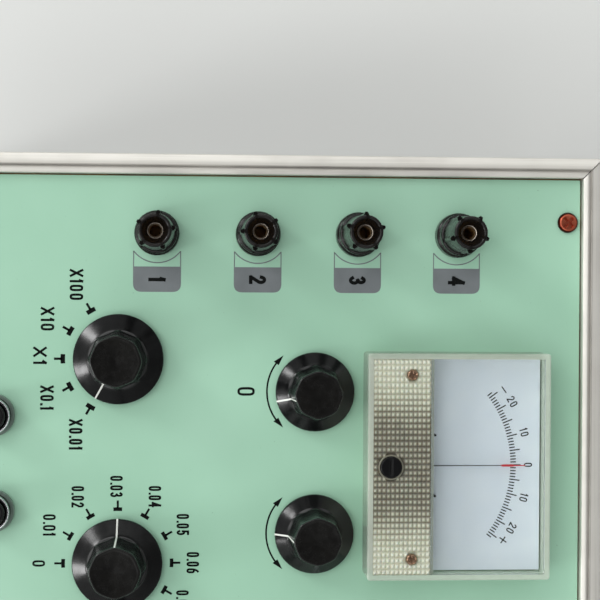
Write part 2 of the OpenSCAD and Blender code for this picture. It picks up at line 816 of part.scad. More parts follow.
// the screw cap with its coned, ribbed grip and funnel, on post number i from the back
module screw_cap(i) {
    ring_low = cap_top - cap_ring_h;
    grip_low = cap_low + cap_flange_h;
    color([0.06, 0.06, 0.07]) on_panel(post_u, post_v + i * post_pitch) difference() {
        union() {
            rotate_extrude() polygon([
                [0, cap_low], [cap_flange_r, cap_low], [cap_flange_r, grip_low],
                [cap_grip_r, grip_low + cap_neck_h], [cap_ring_r, ring_low], [cap_ring_r, cap_top], [0, cap_top]
            ]);
            for (k = [0 : cap_ribs - 1]) rotate([0, 0, cap_turns[i] + k * 360 / cap_ribs])
                translate([0, -cap_rib_w / 2, grip_low])
                    cube([cap_rib_r, cap_rib_w, ring_low - grip_low + rib_rise]);
        }
        cylinder(r = cap_bore_r, h = far);
        translate([0, 0, cap_top - funnel_d])
            cylinder(r1 = cap_bore_r, r2 = funnel_r, h = funnel_d + eps);
    }
}

module c2_washer() { clamp_washer(0); }
module p2_washer() { clamp_washer(1); }
module p1_washer() { clamp_washer(2); }
module c1_washer() { clamp_washer(3); }
module c2_cap() { screw_cap(0); }
module p2_cap() { screw_cap(1); }
module p1_cap() { screw_cap(2); }
module c1_cap() { screw_cap(3); }

module rotary_switches() {
    first = -panel_t - index_t;
    last = first - 2 * wafer_pitch - wafer_t;
    color([0.5, 0.36, 0.22]) for (u = [range_u, step_u]) on_panel(u, dial_v) difference() {
        union() {
            translate([0, 0, -panel_t]) cylinder(r = bush_r, h = panel_t + bush_top);
            translate([0, 0, first]) cylinder(r = index_r, h = index_t);
            for (k = [1, 2]) translate([0, 0, first - k * wafer_pitch]) cylinder(r = wafer_r, h = wafer_t);
            pair(rod_off) translate([0, 0, last]) cylinder(r = rod_r, h = first - last + eps);
        }
        cylinder(r = shaft_r + fit, h = far, center = true);
        translate([0, 0, last - over]) cylinder(r = shaft_r + wafer_ease, h = first - last + over);
    }
}

module pots() {
    color([0.3, 0.31, 0.33]) for (u = [zero_u, sens_u]) on_panel(u, small_v) difference() {
        union() {
            translate([0, 0, -panel_t]) cylinder(r = bush_r, h = panel_t + bush_top);
            translate([0, 0, -panel_t - pot_h]) cylinder(r = pot_r, h = pot_h);
        }
        translate([0, 0, pot_floor - panel_t - pot_h]) cylinder(r = shaft_r + fit, h = far);
    }
}

module slide_wire() {
    plate_low = -panel_t - former_plate;
    color([0.45, 0.3, 0.2]) on_panel(slide_u, dial_v) difference() {
        union() {
            translate([0, 0, -panel_t]) cylinder(r = bush_r, h = panel_t + bush_top);
            translate([0, 0, plate_low]) cylinder(r = former_r + former_lip, h = former_plate);
            translate([0, 0, plate_low - former_h]) tube(former_r, former_r - former_t, former_h + eps);
        }
        cylinder(r = shaft_r + fit, h = far, center = true);
    }
}

module shaft_nuts() {
    color([0.75, 0.76, 0.76]) {
        for (u = [range_u, step_u, slide_u]) on_panel(u, dial_v) hex_nut(nut_r, bush_r + nudge, nut_h);
        for (u = [zero_u, sens_u]) on_panel(u, small_v) hex_nut(nut_r, bush_r + nudge, nut_h);
    }
}

// a fluted knob over a coned skirt, hollow underneath for the bush and its nut
module skirted_knob(skirt, grip) {
    skirt_top = skirt_gap + skirt_h;
    color([0.05, 0.05, 0.06]) difference() {
        rotate_extrude() polygon([
            [0, skirt_gap], [skirt, skirt_gap], [skirt, skirt_gap + skirt_edge], [grip, skirt_top],
            [grip - grip_taper, knob_top - grip_cut], [grip - grip_taper - grip_cut, knob_top], [0, knob_top]
        ]);
        for (i = [0 : flutes - 1]) rotate([0, 0, (i + 0.5) * 360 / flutes])
            translate([grip + flute_r - flute_d, 0, skirt_top]) cylinder(r = flute_r, h = knob_top);
        translate([0, 0, knob_top - dish_d]) cylinder(r = grip - grip_taper - flute_d - dish_rim, h = over);
        translate([0, 0, -over]) cylinder(r = nut_room_r, h = nut_room_h + over);
        cylinder(r = shaft_r + nudge, h = shaft_top + nudge);
    }
}

module range_knob() { on_panel(range_u, dial_v) skirted_knob(skirt_r, grip_base_r); }
module step_knob() { on_panel(step_u, dial_v) skirted_knob(skirt_r, grip_base_r); }
module zero_knob() { on_panel(zero_u, small_v) skirted_knob(small_skirt_r, small_grip_base_r); }
module sens_knob() { on_panel(sens_u, small_v) skirted_knob(small_skirt_r, small_grip_base_r); }

// a switch shaft with the two contact arms that turn between the wafers
module switch_shaft() {
    arm_z = -panel_t - index_t - wafer_pitch;
    color([0.7, 0.7, 0.7]) {
        translate([0, 0, shaft_low]) cylinder(r = shaft_r, h = shaft_top - shaft_low);
        for (k = [0, 1]) translate([0, -shaft_r, arm_z - k * wafer_pitch + wafer_t + wiper_gap])
            cube([rod_off - rod_r - shaft_tail, 2 * shaft_r, wiper_t]);
    }
}

// a potentiometer's shaft
module pot_shaft() {
    low = pot_floor + ease - panel_t - pot_h;
    color([0.7, 0.7, 0.7]) translate([0, 0, low]) cylinder(r = shaft_r, h = shaft_top - low);
}

module range_shaft() { on_panel(range_u, dial_v) rotate([0, 0, 90]) switch_shaft(); }
module step_shaft() { on_panel(step_u, dial_v) rotate([0, 0, 90]) switch_shaft(); }
module zero_shaft() { on_panel(zero_u, small_v) pot_shaft(); }
module sens_shaft() { on_panel(sens_u, small_v) pot_shaft(); }

module slide_knob() {
    low = disc_z + disc_t;
    foot = slide_grip_r + slide_foot_w;
    foot_edge = low + skirt_edge;
    foot_top = low + slide_foot_h;
    color([0.05, 0.05, 0.06]) on_panel(slide_u, dial_v) difference() {
        rotate_extrude() polygon([
            [0, low], [foot, low], [foot, foot_edge], [slide_grip_r, foot_top],
            [slide_grip_r - grip_taper, slide_top - grip_cut],
            [slide_grip_r - grip_taper - grip_cut, slide_top], [0, slide_top]
        ]);
        for (i = [0 : flutes - 1]) rotate([0, 0, (i + 0.5) * 360 / flutes])
            translate([slide_grip_r + flute_r - flute_d, 0, foot_top]) cylinder(r = flute_r, h = slide_top);
        translate([0, 0, slide_top - dish_d])
            cylinder(r = slide_grip_r - grip_taper - flute_d - dish_rim, h = over);
        cylinder(r = shaft_r + nudge, h = slide_shaft_top + nudge);
    }
}

module slide_dial() {
    bevel = 5;
    edge = disc_z + 0.8;
    color([0.83, 0.83, 0.82]) on_panel(slide_u, dial_v) rotate_extrude() polygon([
        [nut_room_r, disc_z], [disc_r, disc_z], [disc_r, edge], [disc_r - bevel, disc_z + disc_t],
        [nut_room_r, disc_z + disc_t]
    ]);
}

module slide_shaft() {
    former_low = -panel_t - former_plate - former_h;
    color([0.7, 0.7, 0.7]) on_panel(slide_u, dial_v) {
        translate([0, 0, slide_shaft_low]) cylinder(r = shaft_r, h = slide_shaft_top - slide_shaft_low);
        translate([0, -shaft_r, former_low - wiper_t - wiper_gap]) cube([former_r, 2 * shaft_r, wiper_t]);
    }
}

module meter_base() {
    wide = cover_w - 2 * base_inset;
    deep = cover_d - 2 * base_inset;
    post_edge = 5;
    post_x = wide / 2 - post_edge;
    boss_high = cover_h - cover_t - nudge;
    foot_x = pole_x - 2.5;
    foot_y = pole_y - 2.4;
    in_w = housing_w - 2 * housing_t;
    in_d = housing_d - 2 * housing_t;
    color([0.09, 0.09, 0.1]) at_pivot() difference() {
        union() {
            difference() {
                union() {
                    translate([-wide / 2, cover_mid - deep / 2, 0]) cube([wide, deep, base_t]);
                    translate([-housing_w / 2, -housing_front, -housing_h])
                        cube([housing_w, housing_d, housing_h + eps]);
                }
                translate([-in_w / 2, housing_t - housing_front, housing_floor - housing_h])
                    cube([in_w, in_d, far]);
            }
            four(foot_x, foot_y) translate([0, 0, -housing_h])
                cylinder(r = pole_foot_r, h = housing_h - core_low);
            pair(cover_screw_x) translate([0, cover_screw_y, 0]) cylinder(r = boss_r, h = boss_high);
            for (y = [scale_front + post_edge, cover_back - base_inset - post_edge]) pair(post_x)
                translate([0, y, 0]) cylinder(r = scale_post_r, h = scale_z - scale_t);
        }
        pair(cover_screw_x) translate([0, cover_screw_y, base_t])
            cylinder(r = cover_screw_r + nudge, h = far);
        translate([0, cover_mid, -over]) four(flange_stud_x, flange_stud_y)
            cylinder(r = flange_stud_r + nudge, h = base_t - stud_roof + over + nudge);
        translate([0, terminal_y, -housing_h - over]) pair(terminal_x)
            cylinder(r = terminal_r + nudge, h = housing_floor + 2 * over);
    }
}

module meter_cover() {
    low = cover_h - cover_t;
    color([0.85, 0.9, 0.88, 0.4]) at_pivot() difference() {
        union() {
            difference() {
                translate([-cover_w / 2, -cover_front, 0]) cube([cover_w, cover_d, cover_h]);
                translate([cover_t - cover_w / 2, cover_t - cover_front, -over])
                    cube([cover_w - 2 * cover_t, cover_d - 2 * cover_t, low + over]);
            }
            translate([-cover_w / 2 + eps, baffle_y - baffle_t / 2, low - baffle_h])
                cube([cover_w - 2 * eps, baffle_t, baffle_h + eps]);
        }
        translate([0, -adjuster_y, 0]) cylinder(r = adjuster_r + fit, h = far);
        pair(cover_screw_x) translate([0, cover_screw_y, 0]) cylinder(r = cover_screw_r + fit, h = far);
    }
}

module scale_plate() {
    play = 0.5;
    wide = cover_w - 2 * (cover_t + play);
    deep = cover_back - cover_t - play - scale_front;
    color([0.88, 0.91, 0.93]) at_pivot() translate([-wide / 2, scale_front, scale_z - scale_t])
        cube([wide, deep, scale_t]);
}

module cover_screws() {
    low = base_t + 1;
    narrow = 0.4;
    cross_l = 1.2 * cover_screw_head_r;
    cross_w = 0.6;
    cross_d = 0.6;
    color([0.5, 0.4, 0.3]) at_pivot() pair(cover_screw_x) translate([0, cover_screw_y, 0]) difference() {
        union() {
            translate([0, 0, cover_h])
                cylinder(r1 = cover_screw_head_r, r2 = cover_screw_head_r - narrow, h = cover_screw_head_h);
            translate([0, 0, low]) cylinder(r = cover_screw_r, h = cover_h - low + eps);
        }
        for (turn = [0, 90]) rotate([0, 0, turn])
            translate([-cross_l / 2, -cross_w / 2, cover_h + cover_screw_head_h - cross_d])
                cube([cross_l, cross_w, cross_d + over]);
    }
}

module meter_studs() {
    color([0.78, 0.64, 0.34]) at_pivot() {
        translate([0, cover_mid, 0]) four(flange_stud_x, flange_stud_y) {
            translate([0, 0, -flange_stud_l])
                cylinder(r = flange_stud_r, h = flange_stud_l + base_t - stud_roof);
            translate([0, 0, -panel_t - small_nut_h - nudge])
                hex_nut(2 * flange_stud_r + ease, flange_stud_r + nudge, small_nut_h);
        }
        translate([0, terminal_y, -housing_h]) pair(terminal_x) {
            translate([0, 0, -terminal_l]) cylinder(r = terminal_r, h = terminal_l + housing_floor + over);
            translate([0, 0, -stud_nut_h - nudge]) hex_nut(2 * terminal_r, terminal_r + nudge, stud_nut_h);
        }
    }
}

module magnet() {
    long = magnet_front + magnet_back + magnet_bow;
    color([0.35, 0.12, 0.1]) at_pivot() translate([0, 0, -core_low]) difference() {
        translate([-magnet_x, -magnet_front, 0]) cube([2 * magnet_x, long, core_h]);
        translate([-pole_x, -far, -over]) cube([2 * pole_x, far + magnet_back, core_h + 2 * over]);
    }
}

module pole_pieces() {
    web_x = 1.8;
    web_z = 4;
    tie_t = 1.5;
    tie_lap = 4;
    tie_x = pole_slot + tie_lap;
    root = 1;
    web_y = pole_y - core_r + root + tie_t;
    color([0.55, 0.56, 0.58]) at_pivot() translate([0, 0, -core_low]) {
        difference() {
            translate([-pole_x, -pole_y, 0]) cube([2 * pole_x, 2 * pole_y, core_h]);
            cylinder(r = bore_r, h = far, center = true);
            translate([-pole_slot, -far / 2, -over]) cube([2 * pole_slot, far, core_h + 2 * over]);
        }
        cylinder(r = core_r, h = core_h);
        translate([-web_x, core_r - root, web_z]) cube([2 * web_x, web_y, core_h - 2 * web_z]);
        translate([-tie_x, pole_y + seam, web_z]) cube([2 * tie_x, tie_t, core_h - 2 * web_z]);
    }
}

module bearing_bridges() {
    jewel_r = point_r + fit;
    foot_x = pole_x - 0.5;
    foot_w = 2.8;
    strip_x = pillar_x + pillar_r;
    color([0.76, 0.62, 0.33]) at_pivot() {
        difference() {
            union() {
                translate([-foot_x, -bridge_w / 2, lower_bridge - bridge_t])
                    cube([2 * foot_x, bridge_w, bridge_t]);
                for (turn = [0, 180]) rotate([0, 0, turn])
                    translate([foot_x - foot_w, -bridge_w / 2, lower_bridge - bridge_t])
                        cube([foot_w, bridge_w, bridge_t - core_low - lower_bridge]);
            }
            cylinder(r = jewel_r, h = far, center = true);
        }
        difference() {
            union() {
                translate([-strip_x, -bridge_w / 2, bridge_z]) cube([2 * strip_x, bridge_w, bridge_t]);
                pair(pillar_x) translate([0, 0, base_t]) cylinder(r = pillar_r, h = bridge_z - base_t + eps);
            }
            cylinder(r = jewel_r, h = far, center = true);
        }
    }
}

module moving_coil() {
    out = coil_in + coil_t;
    color([0.66, 0.36, 0.16]) at_pivot() difference() {
        translate([-out, -coil_w / 2, coil_low]) cube([2 * out, coil_w, coil_high - coil_low]);
        translate([-coil_in, -coil_w, coil_low + coil_t])
            cube([2 * coil_in, 2 * coil_w, coil_high - coil_low - 2 * coil_t]);
    }
}

module needle() {
    weight_r = 1;
    color([0.45, 0.3, 0.3]) at_pivot() translate([0, 0, needle_z]) difference() {
        union() {
            cylinder(r = hub_r, h = hub_h);
            translate([-needle_w / 2, -needle_tail, (hub_h - needle_w) / 2])
                cube([needle_w, needle_l + needle_tail, needle_w]);
            translate([0, weight_r - needle_tail, 0]) cylinder(r = weight_r, h = hub_h);
        }
        cylinder(r = staff_r + nudge, h = far, center = true);
    }
}

module staffs() {
    color([0.72, 0.73, 0.75]) at_pivot() {
        translate([0, 0, coil_high]) {
            cylinder(r = staff_r, h = bridge_z - coil_high - fit);
            cylinder(r = point_r, h = bridge_z - coil_high + point_l);
        }
        translate([0, 0, lower_bridge + fit]) cylinder(r = staff_r, h = coil_low - lower_bridge - fit);
        translate([0, 0, lower_bridge - point_l])
            cylinder(r = point_r, h = coil_low - lower_bridge + point_l);
    }
}

// a flat spiral strip with a collet on the staff
module spiral() {
    n = round(hair_turns * hair_steps);
    pitch = (hair_r - hair_in_r) / n;
    turn = 360 / hair_steps;
    outer = [for (i = [0 : n]) (hair_in_r + pitch * i + hair_w / 2) * [cos(turn * i), sin(turn * i)]];
    inner = [for (i = [n : -1 : 0]) (hair_in_r + pitch * i - hair_w / 2) * [cos(turn * i), sin(turn * i)]];
    linear_extrude(hair_h) polygon(concat(outer, inner));
    tube(collet_r, staff_r + nudge, hair_h);
}

module hairsprings() {
    color([0.7, 0.5, 0.25]) at_pivot() {
        translate([0, 0, hair_upper_z]) spiral();
        translate([0, 0, hair_lower_z]) spiral();
    }
}

module zero_adjuster() {
    pin_off = 1.6;
    pin_w = 0.5;
    lip_t = 1;
    slot_l = 1.5 * adjuster_r;
    color([0.06, 0.06, 0.07]) at_pivot() translate([0, -adjuster_y, 0]) difference() {
        union() {
            translate([0, 0, adjuster_lip_z]) cylinder(r = adjuster_r, h = adjuster_top - adjuster_lip_z);
            translate([0, 0, adjuster_lip_z]) cylinder(r = adjuster_lip_r, h = lip_t);
            translate([0, pin_off, adjuster_lip_z - pin_w]) cylinder(r = pin_w, h = lip_t);
        }
        translate([-slot_l / 2, -slot_w / 2, adjuster_top - slot_d]) cube([slot_l, slot_w, slot_d + over]);
    }
}

module button_housings() {
    color([0.8, 0.81, 0.82]) for (u = [b_u, g_u]) on_panel(u, button_v) {
        difference() {
            union() {
                cylinder(r = collar_r, h = collar_h);
                translate([0, 0, collar_h - eps]) cylinder(r = bezel_r, h = bezel_top - collar_h + eps);
                translate([0, 0, block_top]) cylinder(r = button_barrel_r, h = eps - block_top);
                translate([-block_w / 2, -block_w / 2, block_top - block_h])
                    cube([block_w, block_w, block_h + eps]);
            }
            translate([0, 0, -button_well]) cylinder(r = well_r, h = far);
        }
        translate([0, 0, -panel_t - block_nut_h - nudge])
            hex_nut(block_nut_r, button_barrel_r + nudge, block_nut_h);
    }
}

// a push button's cap
module button_cap() {
    high = bezel_top + button_rise;
    edge = 0.8;
    hollow = 0.4;
    color([0.05, 0.05, 0.06]) rotate_extrude() polygon([
        [0, -button_sink], [button_r, -button_sink], [button_r, high - edge],
        [button_r - edge, high], [0, high - hollow]
    ]);
}

// a push button's return spring, drawn as the sleeve it fills
module button_spring() {
    color([0.7, 0.7, 0.72]) translate([0, 0, -button_well + nudge])
        tube(spring_out_r, spring_in_r, button_well - button_sink - 2 * nudge);
}

module button_b() { on_panel(b_u, button_v) button_cap(); }
module button_g() { on_panel(g_u, button_v) button_cap(); }
module button_b_spring() { on_panel(b_u, button_v) button_spring(); }
module button_g_spring() { on_panel(g_u, button_v) button_spring(); }

module power_switch() {
    color([0.72, 0.73, 0.74]) on_panel(power_u, power_v) {
        difference() {
            union() {
                translate([0, 0, -panel_t]) cylinder(r = power_bush_r, h = panel_t + power_bush_top);
                translate([-power_body_w / 2, -power_body_l / 2, -panel_t - power_body_h])
                    cube([power_body_w, power_body_l, power_body_h]);
            }
            translate([0, 0, lever_z - ball_r - ease]) cylinder(r = ball_r + fit, h = far);
            translate([0, 0, lever_z]) rotate([0, 90, 0])
                cylinder(r = lever_pin_r + fit, h = lever_pin_l + 2 * fit, center = true);
        }
        hex_nut(power_nut_r, power_bush_r + nudge, power_nut_h);
    }
}

module power_lever() {
    color([0.78, 0.79, 0.8]) on_panel(power_u, power_v) translate([0, 0, lever_z])
        rotate([lever_tilt, 0, 0]) {
            sphere(r = ball_r);
            rotate([0, 90, 0]) cylinder(r = lever_pin_r, h = lever_pin_l, center = true);
            cylinder(r1 = lever_r, r2 = lever_tip_r, h = lever_l);
            translate([0, 0, lever_l]) sphere(r = lever_tip_r);
        }
}

module outer_sockets() {
    color([0.08, 0.08, 0.09]) for (i = [0 : 3]) on_panel(jack_u + i * jack_pitch, jack_v) {
        difference() {
            union() {
                cylinder(r = jack_r, h = jack_h);
                translate([0, 0, -jack_l]) cylinder(r = jack_neck_r, h = jack_l + eps);
            }
            translate([0, 0, jack_h - jack_l]) cylinder(r = socket_r, h = far);
        }
        translate([0, 0, -panel_t - stud_nut_h - nudge])
            hex_nut(jack_nut_r, jack_neck_r + nudge, stud_nut_h);
    }
}

module battery_box() {
    color([0.2, 0.2, 0.22]) translate([box_x - box_w / 2, box_y - box_l / 2, floor_top]) difference() {
        cube([box_w, box_l, box_h]);
        translate([box_t, box_t, box_t]) cube([box_w - 2 * box_t, box_l - 2 * box_t, box_h]);
    }
}

module battery_cells() {
    nub_h = 1.5;
    nub_r = cell_r * 0.3;
    low = floor_top + box_t + nudge;
    first = box_x - (cells - 1) / 2 * cell_pitch;
    color([0.25, 0.35, 0.5]) for (i = [0 : cells - 1])
        translate([first + i * cell_pitch, box_y - cell_l / 2, low + cell_r]) rotate([-90, 0, 0]) {
            cylinder(r = cell_r, h = cell_l - nub_h);
            cylinder(r = nub_r, h = cell_l);
        }
}

module amplifier_board() {
    post_x = board_l / 2 - board_post_r;
    post_y = board_w / 2 - board_post_r;
    top = board_rise + board_t - eps;
    can_r = 5;
    can_h = 12;
    chip = [12, 6, 4];
    inset = 0.5;
    color([0.15, 0.38, 0.22]) translate([board_x, board_y, floor_top]) {
        four(post_x, post_y) cylinder(r = board_post_r - inset, h = board_rise + eps);
        translate([-board_l / 2, -board_w / 2, board_rise]) cube([board_l, board_w, board_t]);
        for (i = [-1, 0, 1]) translate([i * board_l / 4, 0, top]) cylinder(r = can_r, h = can_h);
        for (i = [-1, 1]) translate([i * board_l / 5 - chip[0] / 2, board_w / 4, top]) cube(chip);
    }
}

floor_panel();
case_walls();
rim_frame();
edge_angles();
rubber_feet();
handle_brackets();
handle_bail();
panel_battens();
panel();
panel_screws();
post_bushes();
post_studs();
c1_washer();
p1_washer();
p2_washer();
c2_washer();
c1_cap();
p1_cap();
p2_cap();
c2_cap();
rotary_switches();
pots();
slide_wire();
shaft_nuts();
range_knob();
range_shaft();
step_knob();
step_shaft();
zero_knob();
zero_shaft();
sens_knob();
sens_shaft();
slide_knob();
slide_dial();
slide_shaft();
meter_base();
meter_cover();
scale_plate();
cover_screws();
meter_studs();
magnet();
pole_pieces();
bearing_bridges();
moving_coil();
needle();
staffs();
hairsprings();
zero_adjuster();
button_housings();
button_b();
button_g();
button_b_spring();
button_g_spring();
power_switch();
power_lever();
outer_sockets();
battery_box();
battery_cells();
amplifier_board();
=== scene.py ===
# %% [markdown]
# A portable resistance bridge, lying flat: a mint green panel in an aluminium rim, four black
# binding posts, fluted knobs and a clear-covered meter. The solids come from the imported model.
# This lesson gives them their finishes, and remakes the pieces that the eye rests on as smooth
# surfaces worked out with numpy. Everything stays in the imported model's frame, so nothing is fitted.

# %% load the frame
import json
import math
import bmesh
import bpy
import numpy as np
from mathutils import Matrix, Vector


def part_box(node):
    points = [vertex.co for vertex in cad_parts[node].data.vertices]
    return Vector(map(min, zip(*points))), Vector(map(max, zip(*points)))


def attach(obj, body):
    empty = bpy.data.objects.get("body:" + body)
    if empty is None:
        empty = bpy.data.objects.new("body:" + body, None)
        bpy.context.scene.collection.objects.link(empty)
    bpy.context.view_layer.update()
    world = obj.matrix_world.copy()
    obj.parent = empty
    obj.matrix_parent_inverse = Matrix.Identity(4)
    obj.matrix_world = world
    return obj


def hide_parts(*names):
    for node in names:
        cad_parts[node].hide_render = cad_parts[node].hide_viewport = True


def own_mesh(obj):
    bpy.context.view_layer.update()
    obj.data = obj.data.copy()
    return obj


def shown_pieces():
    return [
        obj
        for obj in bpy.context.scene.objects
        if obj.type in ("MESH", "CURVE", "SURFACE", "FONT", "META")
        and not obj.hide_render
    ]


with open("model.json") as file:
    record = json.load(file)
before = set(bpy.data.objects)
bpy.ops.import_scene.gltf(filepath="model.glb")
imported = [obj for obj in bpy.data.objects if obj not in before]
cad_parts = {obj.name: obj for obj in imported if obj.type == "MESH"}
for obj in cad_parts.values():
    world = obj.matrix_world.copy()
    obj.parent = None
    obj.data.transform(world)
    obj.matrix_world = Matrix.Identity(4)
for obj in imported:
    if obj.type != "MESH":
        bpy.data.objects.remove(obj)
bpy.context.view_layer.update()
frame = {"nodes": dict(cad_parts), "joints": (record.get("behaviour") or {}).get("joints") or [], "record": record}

# %% [markdown]
# Lengths below are in millimetres, because that is how a maker thinks of a knob or a screw. Blender
# works in metres, so new_mesh turns millimetres into metres. Places come from the frame: the middle of
# a node's box, or the point where a joint has its axis.

# %% places on the panel
MM = 0.001  # metres in a millimetre


def low_high(node):
    """The lowest and highest corner of a node's box, in millimetres."""
    low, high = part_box(node)
    return np.array(low) / MM, np.array(high) / MM


def middle(node):
    """The middle of a node's box seen from above, as x and y in millimetres."""
    low, high = low_high(node)
    return (low + high)[:2] / 2


def axis_at(joint):
    """Where a joint's axis meets the panel, as x and y in millimetres."""
    found = next(j for j in frame["joints"] if j["name"] == joint)
    return np.array(found["pos_m"][:2]) / MM


panel_top = low_high("panel")[1][2]
rim_top = low_high("rim_frame")[1][2]
print("panel top at", round(panel_top, 2), "rim top at", round(rim_top, 2))

# %% [markdown]
# Every shape here is a grid: rows of points along a profile, columns round an axis or along a path.
# Two neighbouring rows and two neighbouring columns make one four-sided face. Working the whole
# grid out as one array is quick, and the face numbers follow from counting alone.

# %% grid to mesh
def grid(points, round_rows=False, round_cols=True):
    """Points of shape (rows, cols, 3) become a part: (points, corners, sizes, marks).

    Face (i, j) joins points (i, j), (i, j+1), (i+1, j+1), (i+1, j). A round direction joins its last
    line to its first. `corners` holds the point numbers of all faces in one row, `sizes` how many of them
    each face takes, and `marks` the mean distances along the columns and along the rows.
    """
    rows, cols = points.shape[:2]
    i, j = np.meshgrid(np.arange(rows - (not round_rows)), np.arange(cols - (not round_cols)), indexing="ij")
    i_next, j_next = (i + 1) % rows, (j + 1) % cols
    corners = np.stack([i * cols + j, i * cols + j_next, i_next * cols + j_next, i_next * cols + j], -1)
    steps = [np.linalg.norm(np.roll(points, -1, axis) - points, axis=-1).mean(1 - axis) for axis in (1, 0)]
    u_at, v_at = (np.concatenate([[0], np.cumsum(step)]) for step in steps)
    u = np.stack([u_at[j], u_at[j + 1], u_at[j + 1], u_at[j]], -1)
    v = np.stack([v_at[i], v_at[i], v_at[i + 1], v_at[i + 1]], -1)
    return points.reshape(-1, 3), corners.ravel(), np.full(i.size, 4), np.stack([u, v], -1).reshape(-1, 2)


def joined(parts):
    """Several parts as one, each part's point numbers moved past the earlier points."""
    points, corners, sizes, marks = zip(*parts)
    starts = np.cumsum([0] + [len(each) for each in points])
    corners = [numbers + start for numbers, start in zip(corners, starts)]
    return tuple(np.concatenate(each) for each in (points, corners, sizes, marks))


def capped(points):
    """A tube from rows of closed outlines, with its first and last outline filled in."""
    cols = points.shape[1]
    shell, corners, sizes, marks = grid(points)
    ends = np.concatenate([np.arange(cols)[::-1], np.arange(len(shell) - cols, len(shell))])
    corners, marks = np.concatenate([corners, ends]), np.concatenate([marks, shell[ends, :2]])
    return shell, corners, np.append(sizes, [cols, cols]), marks


def slab(top, thick):
    """An open grid of points made solid: the same points moved down by `thick` close it below."""
    return capped(np.concatenate([top, (top - [0, 0, thick])[:, ::-1]], 1))


def at_height(flat, z):
    """Flat points of shape (..., 2) with a height added."""
    return np.concatenate([flat, np.full((*np.shape(flat)[:-1], 1), z)], -1)


def moved(part, x, y, z=0.0):
    """The same part, shifted."""
    return part[0] + np.array([x, y, z]), *part[1:]


def new_mesh(name, part):
    """A part in millimetres becomes a mesh in metres, with its marks as surface coordinates."""
    points, corners, sizes, marks = part
    mesh = bpy.data.meshes.new(name)
    mesh.vertices.add(len(points))
    mesh.vertices.foreach_set("co", (points * MM).astype(np.float32).ravel())
    mesh.loops.add(len(corners))
    mesh.loops.foreach_set("vertex_index", corners.astype(np.int32))
    mesh.polygons.add(len(sizes))
    mesh.polygons.foreach_set("loop_start", (np.cumsum(sizes) - sizes).astype(np.int32))
    mesh.update(calc_edges=True)
    mesh.uv_layers.new(name="along").data.foreach_set("uv", marks.astype(np.float32).ravel())
    return mesh


def make_piece(name, part, finish, body, stands_for=(), closed=True, crease=40, soft=0.0):
    """Puts a part into a mesh in metres, welds its seams and poles, and lets it ride on a body.

    A closed part gets its faces outward. With `soft` set, a Bevel modifier rounds the sharp edges by
    that many millimetres.
    """
    mesh = new_mesh(name, part)
    work = bmesh.new()
    work.from_mesh(mesh)
    bmesh.ops.remove_doubles(work, verts=work.verts, dist=1e-6)
    if closed:
        bmesh.ops.recalc_face_normals(work, faces=work.faces)
        if work.calc_volume(signed=True) < 0:
            bmesh.ops.reverse_faces(work, faces=work.faces)
    work.to_mesh(mesh)
    work.free()
    mesh.shade_smooth()
    mesh.set_sharp_from_angle(angle=math.radians(crease))
    mesh.materials.append(finishes[finish])
    piece = bpy.data.objects.new(name, mesh)
    bpy.context.scene.collection.objects.link(piece)
    if soft:
        bevel = piece.modifiers.new("soft_edges", "BEVEL")
        bevel.width, bevel.segments, bevel.harden_normals = soft * MM, 2, True
        bevel.limit_method, bevel.angle_limit = "ANGLE", math.radians(crease)
    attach(piece, body)
    if stands_for:
        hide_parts(*stands_for)
    print(name, len(mesh.polygons), "faces")
    return piece


def read(items, label, width=1, kind=float):
    """One property of all points, corners or faces of a mesh, as an array."""
    values = np.empty(len(items) * width, kind)
    items.foreach_get(label, values)
    return values.reshape(-1, width).squeeze()


def softened(node):
    """A node's mesh as a part: its loose triangles welded and its flat triangles merged into whole faces."""
    work = bmesh.new()
    work.from_mesh(frame["nodes"][node].data)
    bmesh.ops.remove_doubles(work, verts=work.verts, dist=1e-6)
    bmesh.ops.dissolve_limit(work, angle_limit=0.01, verts=work.verts, edges=work.edges)
    merged = bpy.data.meshes.new(node + "_merged")
    work.to_mesh(merged)
    work.free()
    points = read(merged.vertices, "co", 3) / MM
    corners = read(merged.loops, "vertex_index", kind=int)
    sizes = read(merged.polygons, "loop_total", kind=int)
    bpy.data.meshes.remove(merged)
    return points, corners, sizes, points[corners, :2]


# %% [markdown]
# A real edge is never perfectly sharp: a mould or a file leaves a small round that catches the light.
# A profile is therefore written as corners with a size, and each corner becomes a short curve that
# leaves its two sides that far from the corner and bends at it.

# %% soft corners and turned shapes
def eased(corners, steps=5, loop=False):
    """Rows of (x, y, size, more...) become a line with rounded corners.

    On each corner the curve is (1-s)^2 a + 2 s (1-s) c + s^2 b, where c is the corner and a and b lie
    `size` along its two sides. Any further columns of the rows are carried along unchanged.
    """
    rows = np.asarray(corners, float)
    c = rows[:, :2]
    before, after = np.roll(c, 1, 0) - c, np.roll(c, -1, 0) - c
    if not loop:
        before[0] = after[0]
        after[-1] = before[-1]
    a, b = (c + side / np.maximum(np.linalg.norm(side, axis=1, keepdims=True), 1e-9) * rows[:, 2:3]
            for side in (before, after))
    s = np.linspace(0, 1, steps)[None, :, None]
    curve = (1 - s) ** 2 * a[:, None] + 2 * s * (1 - s) * c[:, None] + s ** 2 * b[:, None]
    more = np.repeat(rows[:, None, 3:], steps, 1)
    return np.concatenate([curve, more], -1).reshape(len(rows) * steps, -1)


def finer(rows, step):
    """A profile with more points: old points stay, and even ones are added, `step` apart along the line."""
    at = np.concatenate([[0], np.cumsum(np.linalg.norm(np.diff(rows[:, :2], axis=0), axis=1))])
    wanted = np.unique(np.concatenate([at, np.arange(0, at[-1], step)]))
    return np.stack([np.interp(wanted, at, column) for column in rows.T], -1)


